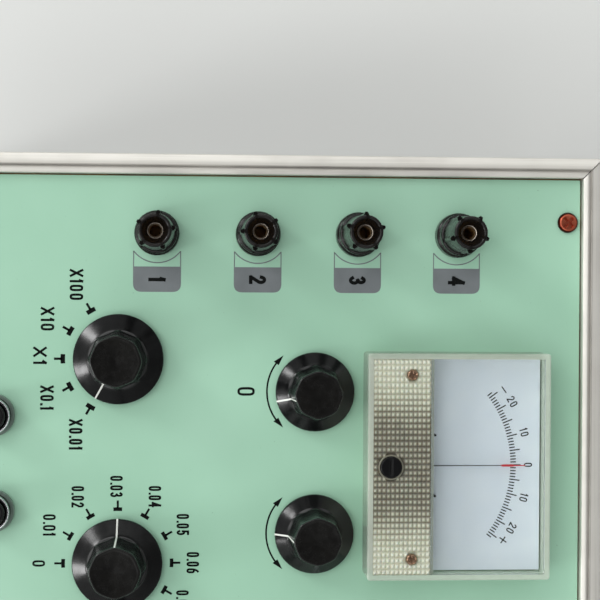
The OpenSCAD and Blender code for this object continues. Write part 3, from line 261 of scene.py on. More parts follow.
def turned(r, z, angles):
    """Radii r (rows or rows x cols) and heights z carried round the z axis: x = r cos, y = r sin."""
    r = np.broadcast_to(np.asarray(r).reshape(len(r), -1), (len(r), len(angles)))
    z = np.broadcast_to(np.asarray(z).reshape(len(z), -1), (len(z), len(angles)))
    return np.stack([r * np.cos(angles), r * np.sin(angles), z], -1)


def full_turn(columns):
    """Angles of so many columns spread evenly round a circle."""
    return np.linspace(0, 2 * np.pi, columns, endpoint=False)


def spun(corners, columns, steps=5, loop=False, step=None):
    """A plain turned part: corners of (radius, height, size), eased and carried once round."""
    rows = eased(corners, steps, loop)
    if step:
        rows = finer(rows, step)
    return grid(turned(rows[:, 0], rows[:, 1], full_turn(columns)), round_rows=loop)


# %% [markdown]
# Finishes are node materials. A number that is the same all over sits on the shader's own socket.
# What varies, such as mottled paint, brushed metal or grained leathercloth, comes from noise on
# Object coordinates. Objects lie at the origin, so those coordinates are metres on the instrument
# itself, and a pattern keeps its true size.

# %% finish helpers
finishes = {}  # every finish by its name


def new_finish(name, **sockets):
    """A new node material. Keywords set the shader's own sockets, with _ for a space."""
    finish = bpy.data.materials.new(name)
    finish.use_nodes = True
    shader = finish.node_tree.nodes["Principled BSDF"]
    for label, value in sockets.items():
        shader.inputs[label.replace("_", " ")].default_value = value
    finishes[name] = finish
    return finish


def add(finish, kind, inputs=(), **settings):
    """A new node in a finish or a sky, with its settings and its inputs: values, or sockets to join."""
    node = finish.node_tree.nodes.new("ShaderNode" + kind)
    for label, value in settings.items():
        setattr(node, label, value)
    for label, value in dict(inputs).items():
        if isinstance(value, bpy.types.NodeSocket):
            finish.node_tree.links.new(value, node.inputs[label])
        else:
            node.inputs[label].default_value = value
    return node


def feed(finish, label, source, shader="Principled BSDF"):
    """Joins a socket to the shader's own input of that name."""
    finish.node_tree.links.new(source, finish.node_tree.nodes[shader].inputs[label])


def place(finish, stretch=(1, 1, 1), along_surface=False):
    """Coordinates in metres, or the piece's own surface marks, stretched by a factor on each axis."""
    source = add(finish, "TexCoord").outputs["UV" if along_surface else "Object"]
    return add(finish, "Mapping", {"Vector": source, "Scale": stretch}).outputs["Vector"]


def one_axis(finish, axis, along_surface=False):
    """One axis of the same coordinates."""
    return add(finish, "SeparateXYZ", {"Vector": place(finish, along_surface=along_surface)}).outputs[axis]


def noise(finish, scale, stretch=(1, 1, 1), detail=4.0, along_surface=False):
    """Cloudy noise with about `scale` blotches to the metre, or to the millimetre along a surface."""
    where = place(finish, stretch, along_surface)
    return add(finish, "TexNoise", {"Vector": where, "Scale": scale, "Detail": detail}).outputs["Fac"]


def reckon(finish, operation, *values):
    """The result of one sum or product of values and sockets."""
    return add(finish, "Math", dict(enumerate(values)), operation=operation).outputs["Value"]


def span(finish, value, low, high, to_low=0.0, to_high=1.0, **settings):
    """A value carried from low..high to to_low..to_high, and held at both ends."""
    ends = {"Value": value, "From Min": low, "From Max": high, "To Min": to_low, "To Max": to_high}
    return add(finish, "MapRange", ends, **settings).outputs["Result"]


def ramp(finish, factor, stops):
    """A colour from a factor, through stops of (position, colour)."""
    node = add(finish, "ValToRGB", {"Fac": factor})
    spots = node.color_ramp.elements
    last = len(stops) - 1
    for k, (position, tint) in enumerate(stops):
        spot = spots[0] if k == 0 else spots[-1] if k == last else spots.new(position)
        spot.position, spot.color = position, (*tint, 1)
    return node.outputs["Color"]


def tone(seen):
    """A colour as seen on a screen, 0 to 255, in the linear numbers that the shader takes."""
    seen = np.array(seen) / 255
    return np.where(seen <= 0.04045, seen / 12.92, ((seen + 0.055) / 1.055) ** 2.4)


def colour(finish, factor, stops):
    """Base colour from a factor, through stops of (position, colour as seen on a screen)."""
    feed(finish, "Base Color", ramp(finish, factor, [(position, tone(seen)) for position, seen in stops]))


def roughness(finish, factor, low, high):
    """Roughness from a factor, between two values."""
    feed(finish, "Roughness", span(finish, factor, 0.3, 0.7, low, high))


def relief(finish, factor, depth, strength=1.0):
    """A bumpy surface from a factor, so many millimetres deep."""
    bump = add(finish, "Bump", {"Height": factor, "Strength": strength, "Distance": depth * MM})
    feed(finish, "Normal", bump.outputs["Normal"])


def banded(finish, factor, axis, stops):
    """A factor times a share that changes along the surface: stops are (millimetres, share)."""
    first, last = stops[0][0], stops[-1][0]
    along = span(finish, one_axis(finish, axis, True), first, last)
    shares = [((at - first) / (last - first), (share, share, share)) for at, share in stops]
    return reckon(finish, "MULTIPLY", factor, ramp(finish, along, shares))


# %% [markdown]
# The panel is sprayed steel. Sprayed paint has a slight orange-peel surface, a faint cloudiness, and
# after years of use a few dark specks. Noises of different scale give these: the broadest
# shifts the green a little, the finest lifts the surface by a few hundredths of a millimetre.

# %% panel paint
paint = new_finish("panel_paint", Specular_IOR_Level=0.42)
unspecked = span(paint, noise(paint, 900, detail=2), 0.18, 0.27)
colour(paint, reckon(paint, "MULTIPLY", noise(paint, 14, detail=5), unspecked), [
    (0.0, (100, 124, 108)), (0.12, (154, 196, 171)), (0.35, (161, 205, 179)), (0.65, (169, 212, 187))])
roughness(paint, noise(paint, 60), 0.34, 0.46)
relief(paint, noise(paint, 1400, detail=2), 0.02)
print("finish", paint.name)

# %% [markdown]
# Bare metals differ in colour, gloss and grain. Drawn aluminium has fine lines along its length, from
# the die. Etched or plated pieces have an even satin grain. Handling leaves greyer, rougher patches,
# which a broad noise mixes into colour and roughness. A metal may also have a darker band along its
# surface, which is painted shade: on the flank of a screw's head, and in the rim's groove.

# %% metals
SATIN = (900, 900, 900)  # an even grain, a millimetre and less


def metal(name, dark, light, low, high, grain=SATIN, shine=1.0, depth=0.004, along_surface=False, band=None):
    """A metal: fine grain, stretched by `grain`, over broad dull patches, and painted shade where a band asks."""
    finish = new_finish(name, Metallic=shine)
    fine = noise(finish, 1.0, grain, 3, along_surface)
    worn = noise(finish, 45, detail=6)
    both = reckon(finish, "MULTIPLY_ADD", fine, 0.5, reckon(finish, "MULTIPLY", worn, 0.5))
    factor = banded(finish, both, *band) if band else both
    dark, light = tone(dark), tone(light)
    stops = [(0.04, dark * 0.12), (0.2, dark), (0.55, light), (0.75, light * 0.95)]
    feed(finish, "Base Color", ramp(finish, factor, stops))
    roughness(finish, both, high, low)
    relief(finish, fine, depth, 0.6)


METALS = {  # dark, light, roughness from and to, and what differs from plain satin metal
    "angle_metal": ((158, 158, 156), (190, 190, 187), 0.36, 0.46, {"shine": 0.7}),
    "plated_steel": ((184, 186, 190), (226, 227, 230), 0.16, 0.26, {}),
    "washer_grey": ((112, 128, 119), (130, 148, 138), 0.3, 0.4, {"shine": 0.4}),
    "brass": ((150, 112, 62), (206, 166, 100), 0.2, 0.36, {}),
    "rubbed_brass": ((146, 134, 122), (190, 178, 166), 0.22, 0.34, {}),
    "turned_steel": ((128, 130, 134), (190, 192, 196), 0.24, 0.4, {}),
    "iron": ((84, 86, 90), (132, 134, 138), 0.4, 0.6, {"depth": 0.01}),
    "bronze_screw": ((84, 62, 48), (168, 138, 116), 0.2, 0.34, {"depth": 0.01}),
    # The band darkens the shank, the seat and the flank of the head, up to 16.3 mm along the profile: painted
    # shade on the head's side.
    "screw_red": ((108, 40, 30), (190, 100, 76), 0.28, 0.42,
                  {"depth": 0.01, "band": ("Y", [(0, 0.15), (16.3, 0.15), (17.0, 1), (30, 1)])}),
    "copper_winding": ((120, 60, 28), (190, 108, 58), 0.3, 0.45, {"grain": (300, 300, 9000), "depth": 0.05}),
}
for name, (dark, light, low, high, more) in METALS.items():
    metal(name, dark, light, low, high, **more)
print("metals", *METALS)

# %% [markdown]
# The knobs and binding posts are moulded phenolic: black, hard and glossy where fingers polish it,
# duller on the crowns. A fine noise varies the gloss, and faint grey dust shows in broad patches.
# Printing ink and smooth paint are made in the same way, with less surface and other colours.

# %% mouldings, ink and smooth paint
def moulding(name, dark, dusty, low, high, peel=0.008, scale=300, shine=0.5):
    """A moulded plastic: dark base, dust in patches, and gloss between two roughnesses."""
    finish = new_finish(name, Specular_IOR_Level=shine)
    colour(finish, noise(finish, 120, detail=8), [(0.42, dark), (0.75, dusty)])
    roughness(finish, noise(finish, scale, detail=5), low, high)
    relief(finish, noise(finish, 1600, detail=2), peel)


MOULDINGS = {  # base, dust, roughness from and to, and what differs from a plain moulding
    "post_black": ((13, 11, 10), (24, 21, 19), 0.2, 0.34, {"shine": 0.3}),
    "knob_black": ((9, 9, 10), (16, 16, 17), 0.16, 0.26, {}),
    "crown_black": ((11, 10, 9), (19, 18, 16), 0.2, 0.3, {"peel": 0.01, "scale": 500, "shine": 0.4}),
    "barrel_black": ((12, 12, 13), (20, 20, 21), 0.6, 0.75, {}),
    "handle_black": ((22, 22, 23), (46, 46, 46), 0.38, 0.55, {"peel": 0.05, "scale": 400}),
    "rubber": ((24, 24, 24), (56, 55, 53), 0.62, 0.8, {"peel": 0.06, "scale": 500}),
    "box_black": ((30, 31, 33), (52, 52, 54), 0.45, 0.6, {"peel": 0.03}),
    "base_cream": ((214, 211, 196), (232, 230, 218), 0.3, 0.42, {}),
    "ring_grey": ((112, 110, 96), (142, 140, 124), 0.25, 0.4, {}),
    "pale_mark": ((222, 222, 216), (240, 240, 236), 0.4, 0.55, {}),
    "print_black": ((8, 10, 9), (18, 21, 20), 0.5, 0.65, {"peel": 0.004, "shine": 0.1}),
    "plate_grey": ((114, 119, 122), (124, 129, 132), 0.4, 0.52, {"peel": 0.004}),
    "scale_white": ((217, 225, 236), (223, 230, 239), 0.45, 0.6, {"peel": 0.003}),
    "magnet_paint": ((112, 34, 28), (142, 56, 46), 0.4, 0.55, {"peel": 0.03}),
}
for name, (dark, dusty, low, high, more) in MOULDINGS.items():
    moulding(name, dark, dusty, low, high, **more)
print("mouldings", *MOULDINGS)

# %% [markdown]
# The case is ply covered with grained leathercloth. The grain is a field of small rounded cells about
# a millimetre across, which a Voronoi pattern gives: the distance to the nearest cell centre is a
# ready-made pillow shape. Scuffs show as paler patches. Inside are planed wood, laminated phenolic
# sheet, printed battery sleeves and a circuit board.

# %% leathercloth, wood and the pieces inside
skin = new_finish("case_skin", Specular_IOR_Level=0.4)
cells = add(skin, "TexVoronoi", {"Vector": place(skin), "Scale": 560.0, "Randomness": 1.0})
colour(skin, noise(skin, 40, detail=8), [(0.4, (36, 38, 40)), (0.62, (44, 46, 48)), (0.8, (58, 59, 60))])
roughness(skin, noise(skin, 90), 0.46, 0.62)
relief(skin, cells.outputs["Distance"], 0.28, 0.8)

wood = new_finish("batten_wood", Roughness=0.62)
grain = noise(wood, 3.0, (20, 20, 260), detail=6)
colour(wood, grain, [(0.35, (140, 104, 66)), (0.65, (188, 150, 104))])
relief(wood, grain, 0.08)

laminate = new_finish("phenolic", Roughness=0.5)
layers = {"Vector": place(laminate), "Scale": 420.0, "Distortion": 2.0, "Detail": 3.0}
weave = add(laminate, "TexWave", layers).outputs["Fac"]
colour(laminate, weave, [(0.2, (112, 70, 36)), (0.8, (156, 104, 58))])
relief(laminate, weave, 0.03)

sleeve = new_finish("cell_wrap", Specular_IOR_Level=0.5)
bands = {"Vector": place(sleeve), "Scale": 14.0, "Distortion": 0.0}
stripe = add(sleeve, "TexWave", bands, bands_direction="Y").outputs["Fac"]
colour(sleeve, stripe, [(0.42, (48, 70, 112)), (0.5, (190, 176, 120)), (0.6, (58, 84, 128))])
roughness(sleeve, noise(sleeve, 200), 0.3, 0.45)

board = new_finish("board_green", Specular_IOR_Level=0.5)
tracks = add(board, "TexBrick", {"Vector": place(board), "Scale": 180.0, "Mortar Size": 0.06})
colour(board, tracks.outputs["Fac"], [(0.1, (38, 96, 58)), (0.9, (62, 130, 82))])
roughness(board, noise(board, 300), 0.35, 0.5)
print("finishes", skin.name, wood.name, laminate.name, sleeve.name, board.name)

# %% [markdown]
# The posts' caps are the pieces that a hand turns to clamp a wire: a flange, a coned
# grip with five thin ribs, and a plain ring with a funnel that guides the plug. One profile
# carried round gives all of it. Each row of the profile has two radii, a plain one and one for the
# ribs, so a rib hardly shows at the cone's foot and ends as a nub under the ring. Each cap is screwed
# round to another angle.

# %% binding post caps
POSTS = {"c1": 26, "p1": 54, "p2": 34, "c2": 0}  # how far each cap is screwed round, in degrees
RIBS, RIB_WIDE = 5, 0.6


def cap_part(turn):
    """Rows are (radius, height, corner size, radius on a rib). The rib's share is 1 on it and 0 beside it."""
    flange, bore, mouth = 7.4, 2.85, 4.6
    base, edge, neck, nub, ring_low, top = 7.2, 11.3, 11.6, 26.0, 28.0, 31.0
    rows = finer(eased([
        (bore, base, 0, bore), (7.2, base, 0.3, 7.2), (flange, base + 1.1, 0.1, flange),
        (7.05, base + 1.4, 0.15, 7.05), (flange, base + 1.7, 0.1, flange), (flange, edge, 0.4, flange),
        (6.5, neck, 0.3, 6.8), (5.95, nub, 0.1, 6.7), (5.92, nub + 0.4, 0.2, 7.1),
        (5.88, ring_low, 0.1, 7.0), (5.86, ring_low + 0.1, 0.05, 5.86), (5.75, top, 0.7, 5.75),
        (mouth, top, 0.5, mouth), (bore, 27.0, 0.3, bore), (bore, base, 0, bore),
    ]), 1.5)
    angles = full_turn(200)
    r, z, on_rib = rows[:, :1], rows[:, 1:2], rows[:, 2:3]
    spacing = 2 * np.pi / RIBS
    from_rib = np.abs((angles - math.radians(turn) + spacing / 2) % spacing - spacing / 2)
    rib = np.clip(1.6 - from_rib * r / RIB_WIDE, 0, 1)
    return grid(turned(r + rib * (on_rib - r), z, angles))


for post, turn in POSTS.items():
    part = moved(cap_part(turn), *middle(post + "_cap"), panel_top)
    make_piece(post + "_screw_cap", part, "post_black", post + "_head",
               [post + "_cap"], crease=35)

# %% [markdown]
# Inside each cap the stud's end shows as a bright ring, where plugs have rubbed it. It is a narrow
# lip that slopes towards the socket, as a countersink does.

# %% socket lips
stud_end = low_high("post_studs")[1][2]
stud_lip = spun([(2.45, 0, 0.02), (2.69, 0, 0.02), (2.69, 0.12, 0.015), (2.65, 0.12, 0.01)], 64, loop=True)
lips = joined([moved(stud_lip, *middle(post + "_cap"), stud_end) for post in POSTS])
make_piece("socket_lips", lips, "rubbed_brass", "case")

# %% [markdown]
# A knob is turned from a profile too: a coned skirt, then a grip with eight shallow hollows for the
# fingers, then a slightly dished crown. The hollows are a smooth wave taken off the radius, deepest at
# the grip's foot and none on the skirt. Underneath, the knob is hollow round the bush and its nut. The
# white line follows the same surface, a little above it.

# %% knobs
FLUTES, FLUTE_DEEP = 8, 1.3
CROWN = 1.2  # the duller finish reaches this far below the top


def knob_rows(skirt, grip, top, low, room_top=4.9, foot=4.8):
    """Rows of (radius, height, corner size, share of hollow) from the shaft's bore round to the crown."""
    shaft, bore_top, nut_room, crown = 3.05, top - 4.0, 8.0, grip - 1.2
    return finer(eased([
        (0, bore_top, 0, 0), (shaft, bore_top, 0, 0), (shaft, room_top, 0, 0), (nut_room, room_top, 0, 0),
        (nut_room, low, 0.1, 0), (skirt, low, 0.15, 0), (skirt, low + 1.0, 0.4, 0),
        (grip + 0.7, low + foot - 0.25, 0.4, 0.0), (grip, low + foot + 0.5, 0.4, 0.55),
        (crown, top - 0.1, 0.5, 0.25), (crown - 0.6, top, 0.2, 0.22), (crown - 1.4, top - 0.1, 0.3, 0.15),
        (0, top - 0.5, 0, 0),
    ], steps=6), 0.8)


def knob_surface(rows, angles):
    """The radius is the profile's, less a wave of eight hollows that is 0 on the ridges."""
    wave = (0.5 - 0.5 * np.cos(FLUTES * angles)) ** 0.7
    return turned(rows[:, :1] - rows[:, 2:3] * FLUTE_DEEP * wave[None, :], rows[:, 1:2], angles)


def knob_shell(knob, rows, x, y, top):
    """A knob's piece. The faces on its dished crown, near the top and facing up, take a duller finish."""
    part = moved(grid(knob_surface(rows, full_turn(160))), x, y, panel_top)
    shell = make_piece(knob + "_knob_shell", part, "knob_black", knob + "_control",
                       [knob + "_knob"], crease=50)
    mesh = shell.data
    mesh.materials.append(finishes["crown_black"])
    near_top = read(mesh.polygons, "center", 3)[:, 2] > (panel_top + top - CROWN) * MM
    facing_up = read(mesh.polygons, "normal", 3)[:, 2] > 0.75
    mesh.polygons.foreach_set("material_index", (near_top & facing_up).astype(np.int32))


KNOB_TOP, KNOB_LOW = 21.0, 1.6  # above the panel
KNOBS = {  # skirt radius, grip radius, heading of the white line in degrees
    "range": (16.1, 10.2, -30), "step": (16.1, 10.2, 180), "zero": (14.2, 9.6, -76), "sens": (14.2, 9.6, -90),
}
for knob, (skirt, grip, heading) in KNOBS.items():
    x, y = middle(knob + "_knob")
    rows = knob_rows(skirt, grip, KNOB_TOP, KNOB_LOW)
    knob_shell(knob, rows, x, y, KNOB_TOP)
    outside = np.flatnonzero((rows[:, 1] > KNOB_LOW + 0.7) & (rows[:, 0] > grip - 1.4))
    flank = rows[outside[0]:outside[-1]]
    angle = math.radians(heading)
    ray = angle + np.linspace(-0.3, 0.3, 7) / flank[:, :1]
    each = np.arange(len(flank))
    at = np.stack([knob_surface(flank, column)[each, each] for column in ray.T], 1)
    lift = np.array([math.cos(angle), math.sin(angle), 0.8]) * 0.09
    line = moved(slab(at + lift, 0.12), x, y, panel_top)
    make_piece(knob + "_index_line", line, "pale_mark", knob + "_control")

# %% [markdown]
# The slide wire's knob is larger and stands on a metal dial. It comes from the same profile, with a
# thicker foot in place of the coned skirt. The dial was faced on a lathe, which leaves fine rings round
# its own axis: noise that only reads the distance from that axis.

# %% slide wire knob and dial
SLIDE_TOP, SLIDE_LOW = 26.0, 5.52
slide_x, slide_y = axis_at("slide_turn")
slide_rows = knob_rows(skirt=17.0, grip=15.0, top=SLIDE_TOP, low=SLIDE_LOW, room_top=7.0, foot=3.0)
knob_shell("slide", slide_rows, slide_x, slide_y, SLIDE_TOP)

faced = new_finish("bright_dial", Metallic=0.8)
from_axis = add(faced, "Mapping", {"Vector": add(faced, "TexCoord").outputs["Object"], "Scale": (1, 1, 0),
                                   "Location": (-slide_x * MM, -slide_y * MM, 0)})
away = add(faced, "VectorMath", {0: from_axis.outputs["Vector"]}, operation="LENGTH").outputs["Value"]
fine_rings = {"W": away, "Scale": 1800.0, "Detail": 3.0}
rings = add(faced, "TexNoise", fine_rings, noise_dimensions="1D").outputs["Fac"]
colour(faced, rings, [(0.3, (188, 189, 189)), (0.7, (216, 216, 214))])
roughness(faced, noise(faced, 60, detail=5), 0.3, 0.4)
relief(faced, rings, 0.01, 0.5)
make_piece("slide_dial_disc", softened("slide_dial"), "bright_dial", "slide_control",
           ["slide_dial"], soft=0.2, crease=20)

# %% [markdown]
# The rim is one drawn section, cut into four rails that meet in mitres. Its section has an outer band,
# a deep groove and an inner bead beside the panel. A section carried along a straight line is enough:
# the mitre follows by ending every point of the section as far from the corner as it lies inwards.
# Anodising makes the rim half matt, so its metal share is lower, and the groove is painted darker, as painted
# shade.

# %% rim rails
RIM_SECTION = eased([  # inwards from the outer face, down from the top, corner size
    (0, -0.7, 0.5), (3.0, 0, 0.8), (4.4, 0, 0.3), (4.4, -0.9, 0.05), (5.3, -0.9, 0.05), (5.3, -0.3, 0.15),
    (5.7, -0.33, 0.25), (7.2, -0.85, 0.4), (7.2, -5.5, 0.1), (6.0, -5.5, 0.1), (6.0, -1.8, 0.1),
    (1.2, -1.8, 0.1), (1.2, -16, 0.1), (0, -16, 0.3),
], loop=True)
MITRE_GAP = 0.22
inwards, down = RIM_SECTION.T
section_at = np.concatenate([[0], np.cumsum(np.linalg.norm(np.diff(RIM_SECTION, axis=0), axis=1))])
start, end = section_at[(inwards > 4.2) & (inwards < 5.45) & (down > -1)][[0, -1]]
print("the groove lies", round(start, 2), "to", round(end, 2), "mm along the section")
# Inside the groove the share falls to 0.3: painted shade in the recess.
groove_shade = [(0, 1), (start + 0.1, 1), (start + 0.45, 0.3), (end - 0.4, 0.3), (end - 0.05, 0.85),
               (end + 1.0, 1), (30, 1)]
metal("rim_metal", (196, 191, 184), (230, 226, 219), 0.38, 0.5, (4.5, 0.015, 1), shine=0.55, depth=0.012,
      along_surface=True, band=("X", groove_shade))


def rail(side, along, across):
    """One rail: at each end the section is cut at 45 degrees, `along` and `across` being half sizes."""
    at = np.linspace(-1, 1, 9)[:, None] * (along - inwards - MITRE_GAP)[None, :]
    points = np.stack(np.broadcast_arrays(at, across - inwards, rim_top + down), -1)
    turn = np.radians(90 * side)
    spin = np.array([[np.cos(turn), np.sin(turn), 0], [-np.sin(turn), np.cos(turn), 0], [0, 0, 1]])
    return capped(points @ spin)


half_x, half_y = low_high("rim_frame")[1][:2]
rails = joined([rail(k, *((half_x, half_y) if k % 2 == 0 else (half_y, half_x))) for k in range(4)])
make_piece("rim_rails", rails, "rim_metal", "case", ["rim_frame"], crease=30)

# %% [markdown]
# A cross-head screw is a dome with a cross pressed into it. On a round grid of radii and angles the
# dome's height is known everywhere, and the cross lowers it wherever a point lies in either of two
# crossing bars. Soft steps at the bars' edges look pressed, not cut.

# %% screws
def soft_step(distance, edge=0.25):
    """1 inside, 0 outside, with an even slope `edge` wide."""
    return np.clip(0.5 - distance / edge, 0, 1)


def screw_part(head, high, shank, long, bar_long, bar_wide, bar_deep, turn):
    """A screw along z with its seat at 0: a rounded flank, a shallow dome, and a cross sunk into the dome."""
    flank = eased([(0, -long, 0), (shank, -long, 0), (shank, 0, 0), (head, 0, 0.05),
                   (head, high * 0.5, high * 0.3), (head * 0.78, high * 0.9, 0)])
    r_top = np.linspace(head * 0.7, 0, 30)
    z_top = high - high * 0.1 * (r_top / (head * 0.75)) ** 2
    points = turned(np.concatenate([flank[:, 0], r_top]), np.concatenate([flank[:, 1], z_top]), full_turn(96))
    x = points[..., 0] * math.cos(turn) + points[..., 1] * math.sin(turn)
    y = points[..., 1] * math.cos(turn) - points[..., 0] * math.sin(turn)
    bars = [soft_step(np.abs(a) - bar_long / 2) * soft_step(np.abs(b) - bar_wide / 2)
            for a, b in ((x, y), (y, x))]
    points[len(flank):, :, 2] -= bar_deep * np.maximum(*bars)[len(flank):]
    return grid(points)


PANEL_HEAD, COVER_HEAD = 3.7, 2.0  # radii
low, high = low_high("panel_screws")
panel_screw = screw_part(PANEL_HEAD, high=2.2, shank=2.0, long=11.0, bar_long=4.4, bar_wide=0.9, bar_deep=1.0,
                         turn=math.radians(45))
places = [(x, y) for x in (low[0] + PANEL_HEAD, high[0] - PANEL_HEAD)
          for y in (low[1] + PANEL_HEAD, high[1] - PANEL_HEAD)]
make_piece("panel_screw_heads", joined([moved(panel_screw, x, y, panel_top) for x, y in places]),
           "screw_red", "case", ["panel_screws"], crease=50)

low, high = low_high("cover_screws")
cover_low, cover_high = low_high("meter_cover")
cover_top = cover_high[2]
cover_screw = screw_part(COVER_HEAD, high=1.2, shank=1.2, long=12.0, bar_long=2.7, bar_wide=0.6, bar_deep=0.4,
                         turn=0.3)
places = [(x, (low[1] + high[1]) / 2) for x in (low[0] + COVER_HEAD, high[0] - COVER_HEAD)]
make_piece("cover_screw_heads", joined([moved(cover_screw, x, y, cover_top) for x, y in places]),
           "bronze_screw", "case", ["cover_screws"], crease=50)

# %% [markdown]
# The meter's cover is clear acrylic, smooth over the scale. A clear body is a Principled shader with full
# transmission. A lamp's shadow rays would stop at it, so for them alone the shader gives way to a
# transparent one, and the scale below is lit as through real acrylic. The walls look milky from above,
# because light runs along inside them.

# %% clear cover
clear = new_finish("clear_acrylic", Transmission_Weight=1.0, IOR=1.49, Base_Color=(0.97, 0.985, 0.975, 1))
roughness(clear, noise(clear, 160, detail=6), 0.0, 0.05)
relief(clear, noise(clear, 60, detail=2), 0.01)
passing = add(clear, "BsdfTransparent", {"Color": (0.93, 0.95, 0.94, 1)}).outputs["BSDF"]
solid = clear.node_tree.nodes["Principled BSDF"].outputs["BSDF"]
shadow = add(clear, "LightPath").outputs["Is Shadow Ray"]
mix = add(clear, "MixShader", {"Fac": shadow, 1: solid, 2: passing})
feed(clear, "Surface", mix.outputs["Shader"], "Material Output")

milky = new_finish("milky_acrylic", IOR=1.49, Alpha=0.45)
colour(milky, noise(milky, 300, detail=3), [(0.35, (222, 229, 215)), (0.65, (229, 235, 222))])
roughness(milky, noise(milky, 200), 0.12, 0.2)

WALL = 2.0
cover_mid, cover_half = (cover_low + cover_high)[:2] / 2, (cover_high - cover_low)[:2] / 2
pivot = axis_at("needle_swing")
baffle = pivot[1] + 11.2  # the bar between the ribbed part and the window
bar_front, bar_back = baffle - 0.6, baffle + 0.6


def wall_ring(inset, z):
    """The cover's outline, set in by so much, as one closed row of points with rounded corners."""
    w, d = cover_half - inset
    corner = max(1.3 - inset, 0.3)
    ring = eased([(-w, -d, corner), (w, -d, corner), (w, d, corner), (-w, d, corner)], 7, loop=True)
    return at_height(ring + cover_mid, z)


wall_section = eased([(0, cover_low[2], 0.05), (0, cover_top, 0.8), (WALL, cover_top, 0.05),
                      (WALL, cover_low[2], 0.05)], loop=True)
walls = grid(np.stack([wall_ring(inset, z) for inset, z in wall_section]), round_rows=True)
inner = cover_half[0] - WALL
bar_x = cover_mid[0] + np.array([-inner, inner])


def between_walls(back, front, z):
    """Four points of a flat from wall to wall, as a grid of two rows."""
    return np.stack(np.broadcast_arrays(bar_x[:, None], np.array([back, front])[None, :], z), -1)


bar = slab(between_walls(bar_back, bar_front, cover_top - WALL), 4.0)
make_piece("cover_walls", joined([walls, bar]), "milky_acrylic", "case", ["meter_cover"])
window = slab(between_walls(cover_high[1] - WALL, bar_front, cover_top), WALL)
make_piece("cover_window", window, "clear_acrylic", "case", soft=0.15)

# %% [markdown]
# The front third of the cover is moulded with rows of small pyramids, which hide the movement below.
# Their field is a grid at half the pitch: every second row is a ridge, and every second point on it a
# peak. Each face is split into two triangles along the edge that runs down from its peak. Holes for
# the adjuster and the screws are left flat. The colour follows the height, with painted shade in the
# valleys, and the middle is painted greyer for the dark movement below: its colour and painted shade.

# %% pyramid field
PITCH_X, PITCH_Y, PYRAMID = 2.05, 1.48, 0.62
FIELD_LOW = cover_top - 0.2  # the valleys
# The greyer middle stands for the dark movement below: its own dark colour, and painted shade under the cover.
SHADE_IN, SHADE_OUT = 10, 34  # the greyer middle, to each side of the pivot

cream = new_finish("ribbed_cream", Specular_IOR_Level=0.6, Subsurface_Weight=0.15)
height = span(cream, one_axis(cream, "Z"), FIELD_LOW * MM, (cover_top + 0.3) * MM)
sideways = one_axis(cream, "X")
# left and right make the middle greyer: the movement below, partly painted shade.
left = span(cream, sideways, (pivot[0] - SHADE_OUT) * MM, (pivot[0] - SHADE_IN) * MM, 1.0, 0.45,
            interpolation_type="SMOOTHSTEP")
right = span(cream, sideways, (pivot[0] + SHADE_IN) * MM, (pivot[0] + SHADE_OUT) * MM, 0.0, 0.55,
             interpolation_type="SMOOTHSTEP")
pale = reckon(cream, "ADD", left, right)
cloudy = reckon(cream, "MULTIPLY_ADD", noise(cream, 220, detail=5), 0.35, pale)
# The valleys are painted darker than the peaks: painted shade.
valley_shade = reckon(cream, "MULTIPLY_ADD", pale, 0.36, 0.12)
colour(cream, reckon(cream, "MULTIPLY", cloudy, span(cream, height, 0.0, 1.0, valley_shade, 0.8)), [
    (0.1, (40, 36, 30)), (0.34, (122, 116, 100)), (0.62, (196, 192, 170)), (1.0, (226, 223, 204))])
roughness(cream, noise(cream, 400), 0.16, 0.3)

field_front = cover_low[1] + WALL
field_x = np.linspace(*bar_x, 2 * int(inner * 2 / PITCH_X) + 1)
field_y = np.linspace(field_front, bar_front, 2 * int((bar_front - field_front) / PITCH_Y) + 1)
gx, gy = np.meshgrid(field_x, field_y, indexing="ij")
rise = (np.arange(len(field_x))[:, None] % 2) * (0.25 + 0.75 * (np.arange(len(field_y))[None, :] % 2))
adjuster_x, adjuster_y = axis_at("adjuster_turn")
ADJUSTER_HOLE, SCREW_HOLE = 4.6, 2.3  # radii
holes = [(adjuster_x, adjuster_y, ADJUSTER_HOLE)] + [(x, y, SCREW_HOLE) for x, y in places]
flat = np.any([np.hypot(gx - x, gy - y) < r for x, y, r in holes], axis=0)
field = np.stack([gx, gy, FIELD_LOW + PYRAMID * rise * ~flat], -1)
points, corners, _, marks = grid(field[:, ::-1], round_cols=False)
corners, marks = corners.reshape(-1, 4), marks.reshape(-1, 4, 2)
mid_x, mid_y = points[corners].mean(1)[:, :2].T
kept = ~np.any([np.hypot(mid_x - x, mid_y - y) < r - 0.6 for x, y, r in holes], axis=0)
order = (points[corners, 2].argmax(1)[:, None] + np.arange(4)) % 4  # each face starts at its peak
order = order[kept][:, [0, 1, 2, 0, 2, 3]]  # and becomes two triangles
corners = np.take_along_axis(corners[kept], order, 1).ravel()
marks = np.take_along_axis(marks[kept], order[:, :, None], 1).reshape(-1, 2)
triangles = np.full(len(corners) // 3, 3)
front = make_piece("cover_pyramids", (points, corners, triangles, marks), "ribbed_cream", "case",
                   closed=False, crease=5)
plate = front.modifiers.new("plate", "SOLIDIFY")
plate.thickness, plate.offset = 1.6 * MM, -1

# %% [markdown]
# The zero adjuster turns in a moulded ring that stands a little above the pyramids.

# %% ring round the adjuster
ring = spun([(3.85, 0.0, 0.05), (4.5, 0.0, 0.05), (4.4, 0.55, 0.2), (3.95, 0.55, 0.2)], 72, loop=True)
ring = moved(ring, adjuster_x, adjuster_y, cover_top)
make_piece("adjuster_ring", ring, "ring_grey", "case")

# %% [markdown]
# The needle is a strip of thin sheet, 0.8 mm wide where it is painted red so that it can be read from
# above, and as thin as wire elsewhere. Its outline is a width along the length. The hub is turned,
# and the short tail balances the blade.

# %% needle
RED_FROM, RED_FULL = 36.2, 36.9  # out from the pivot

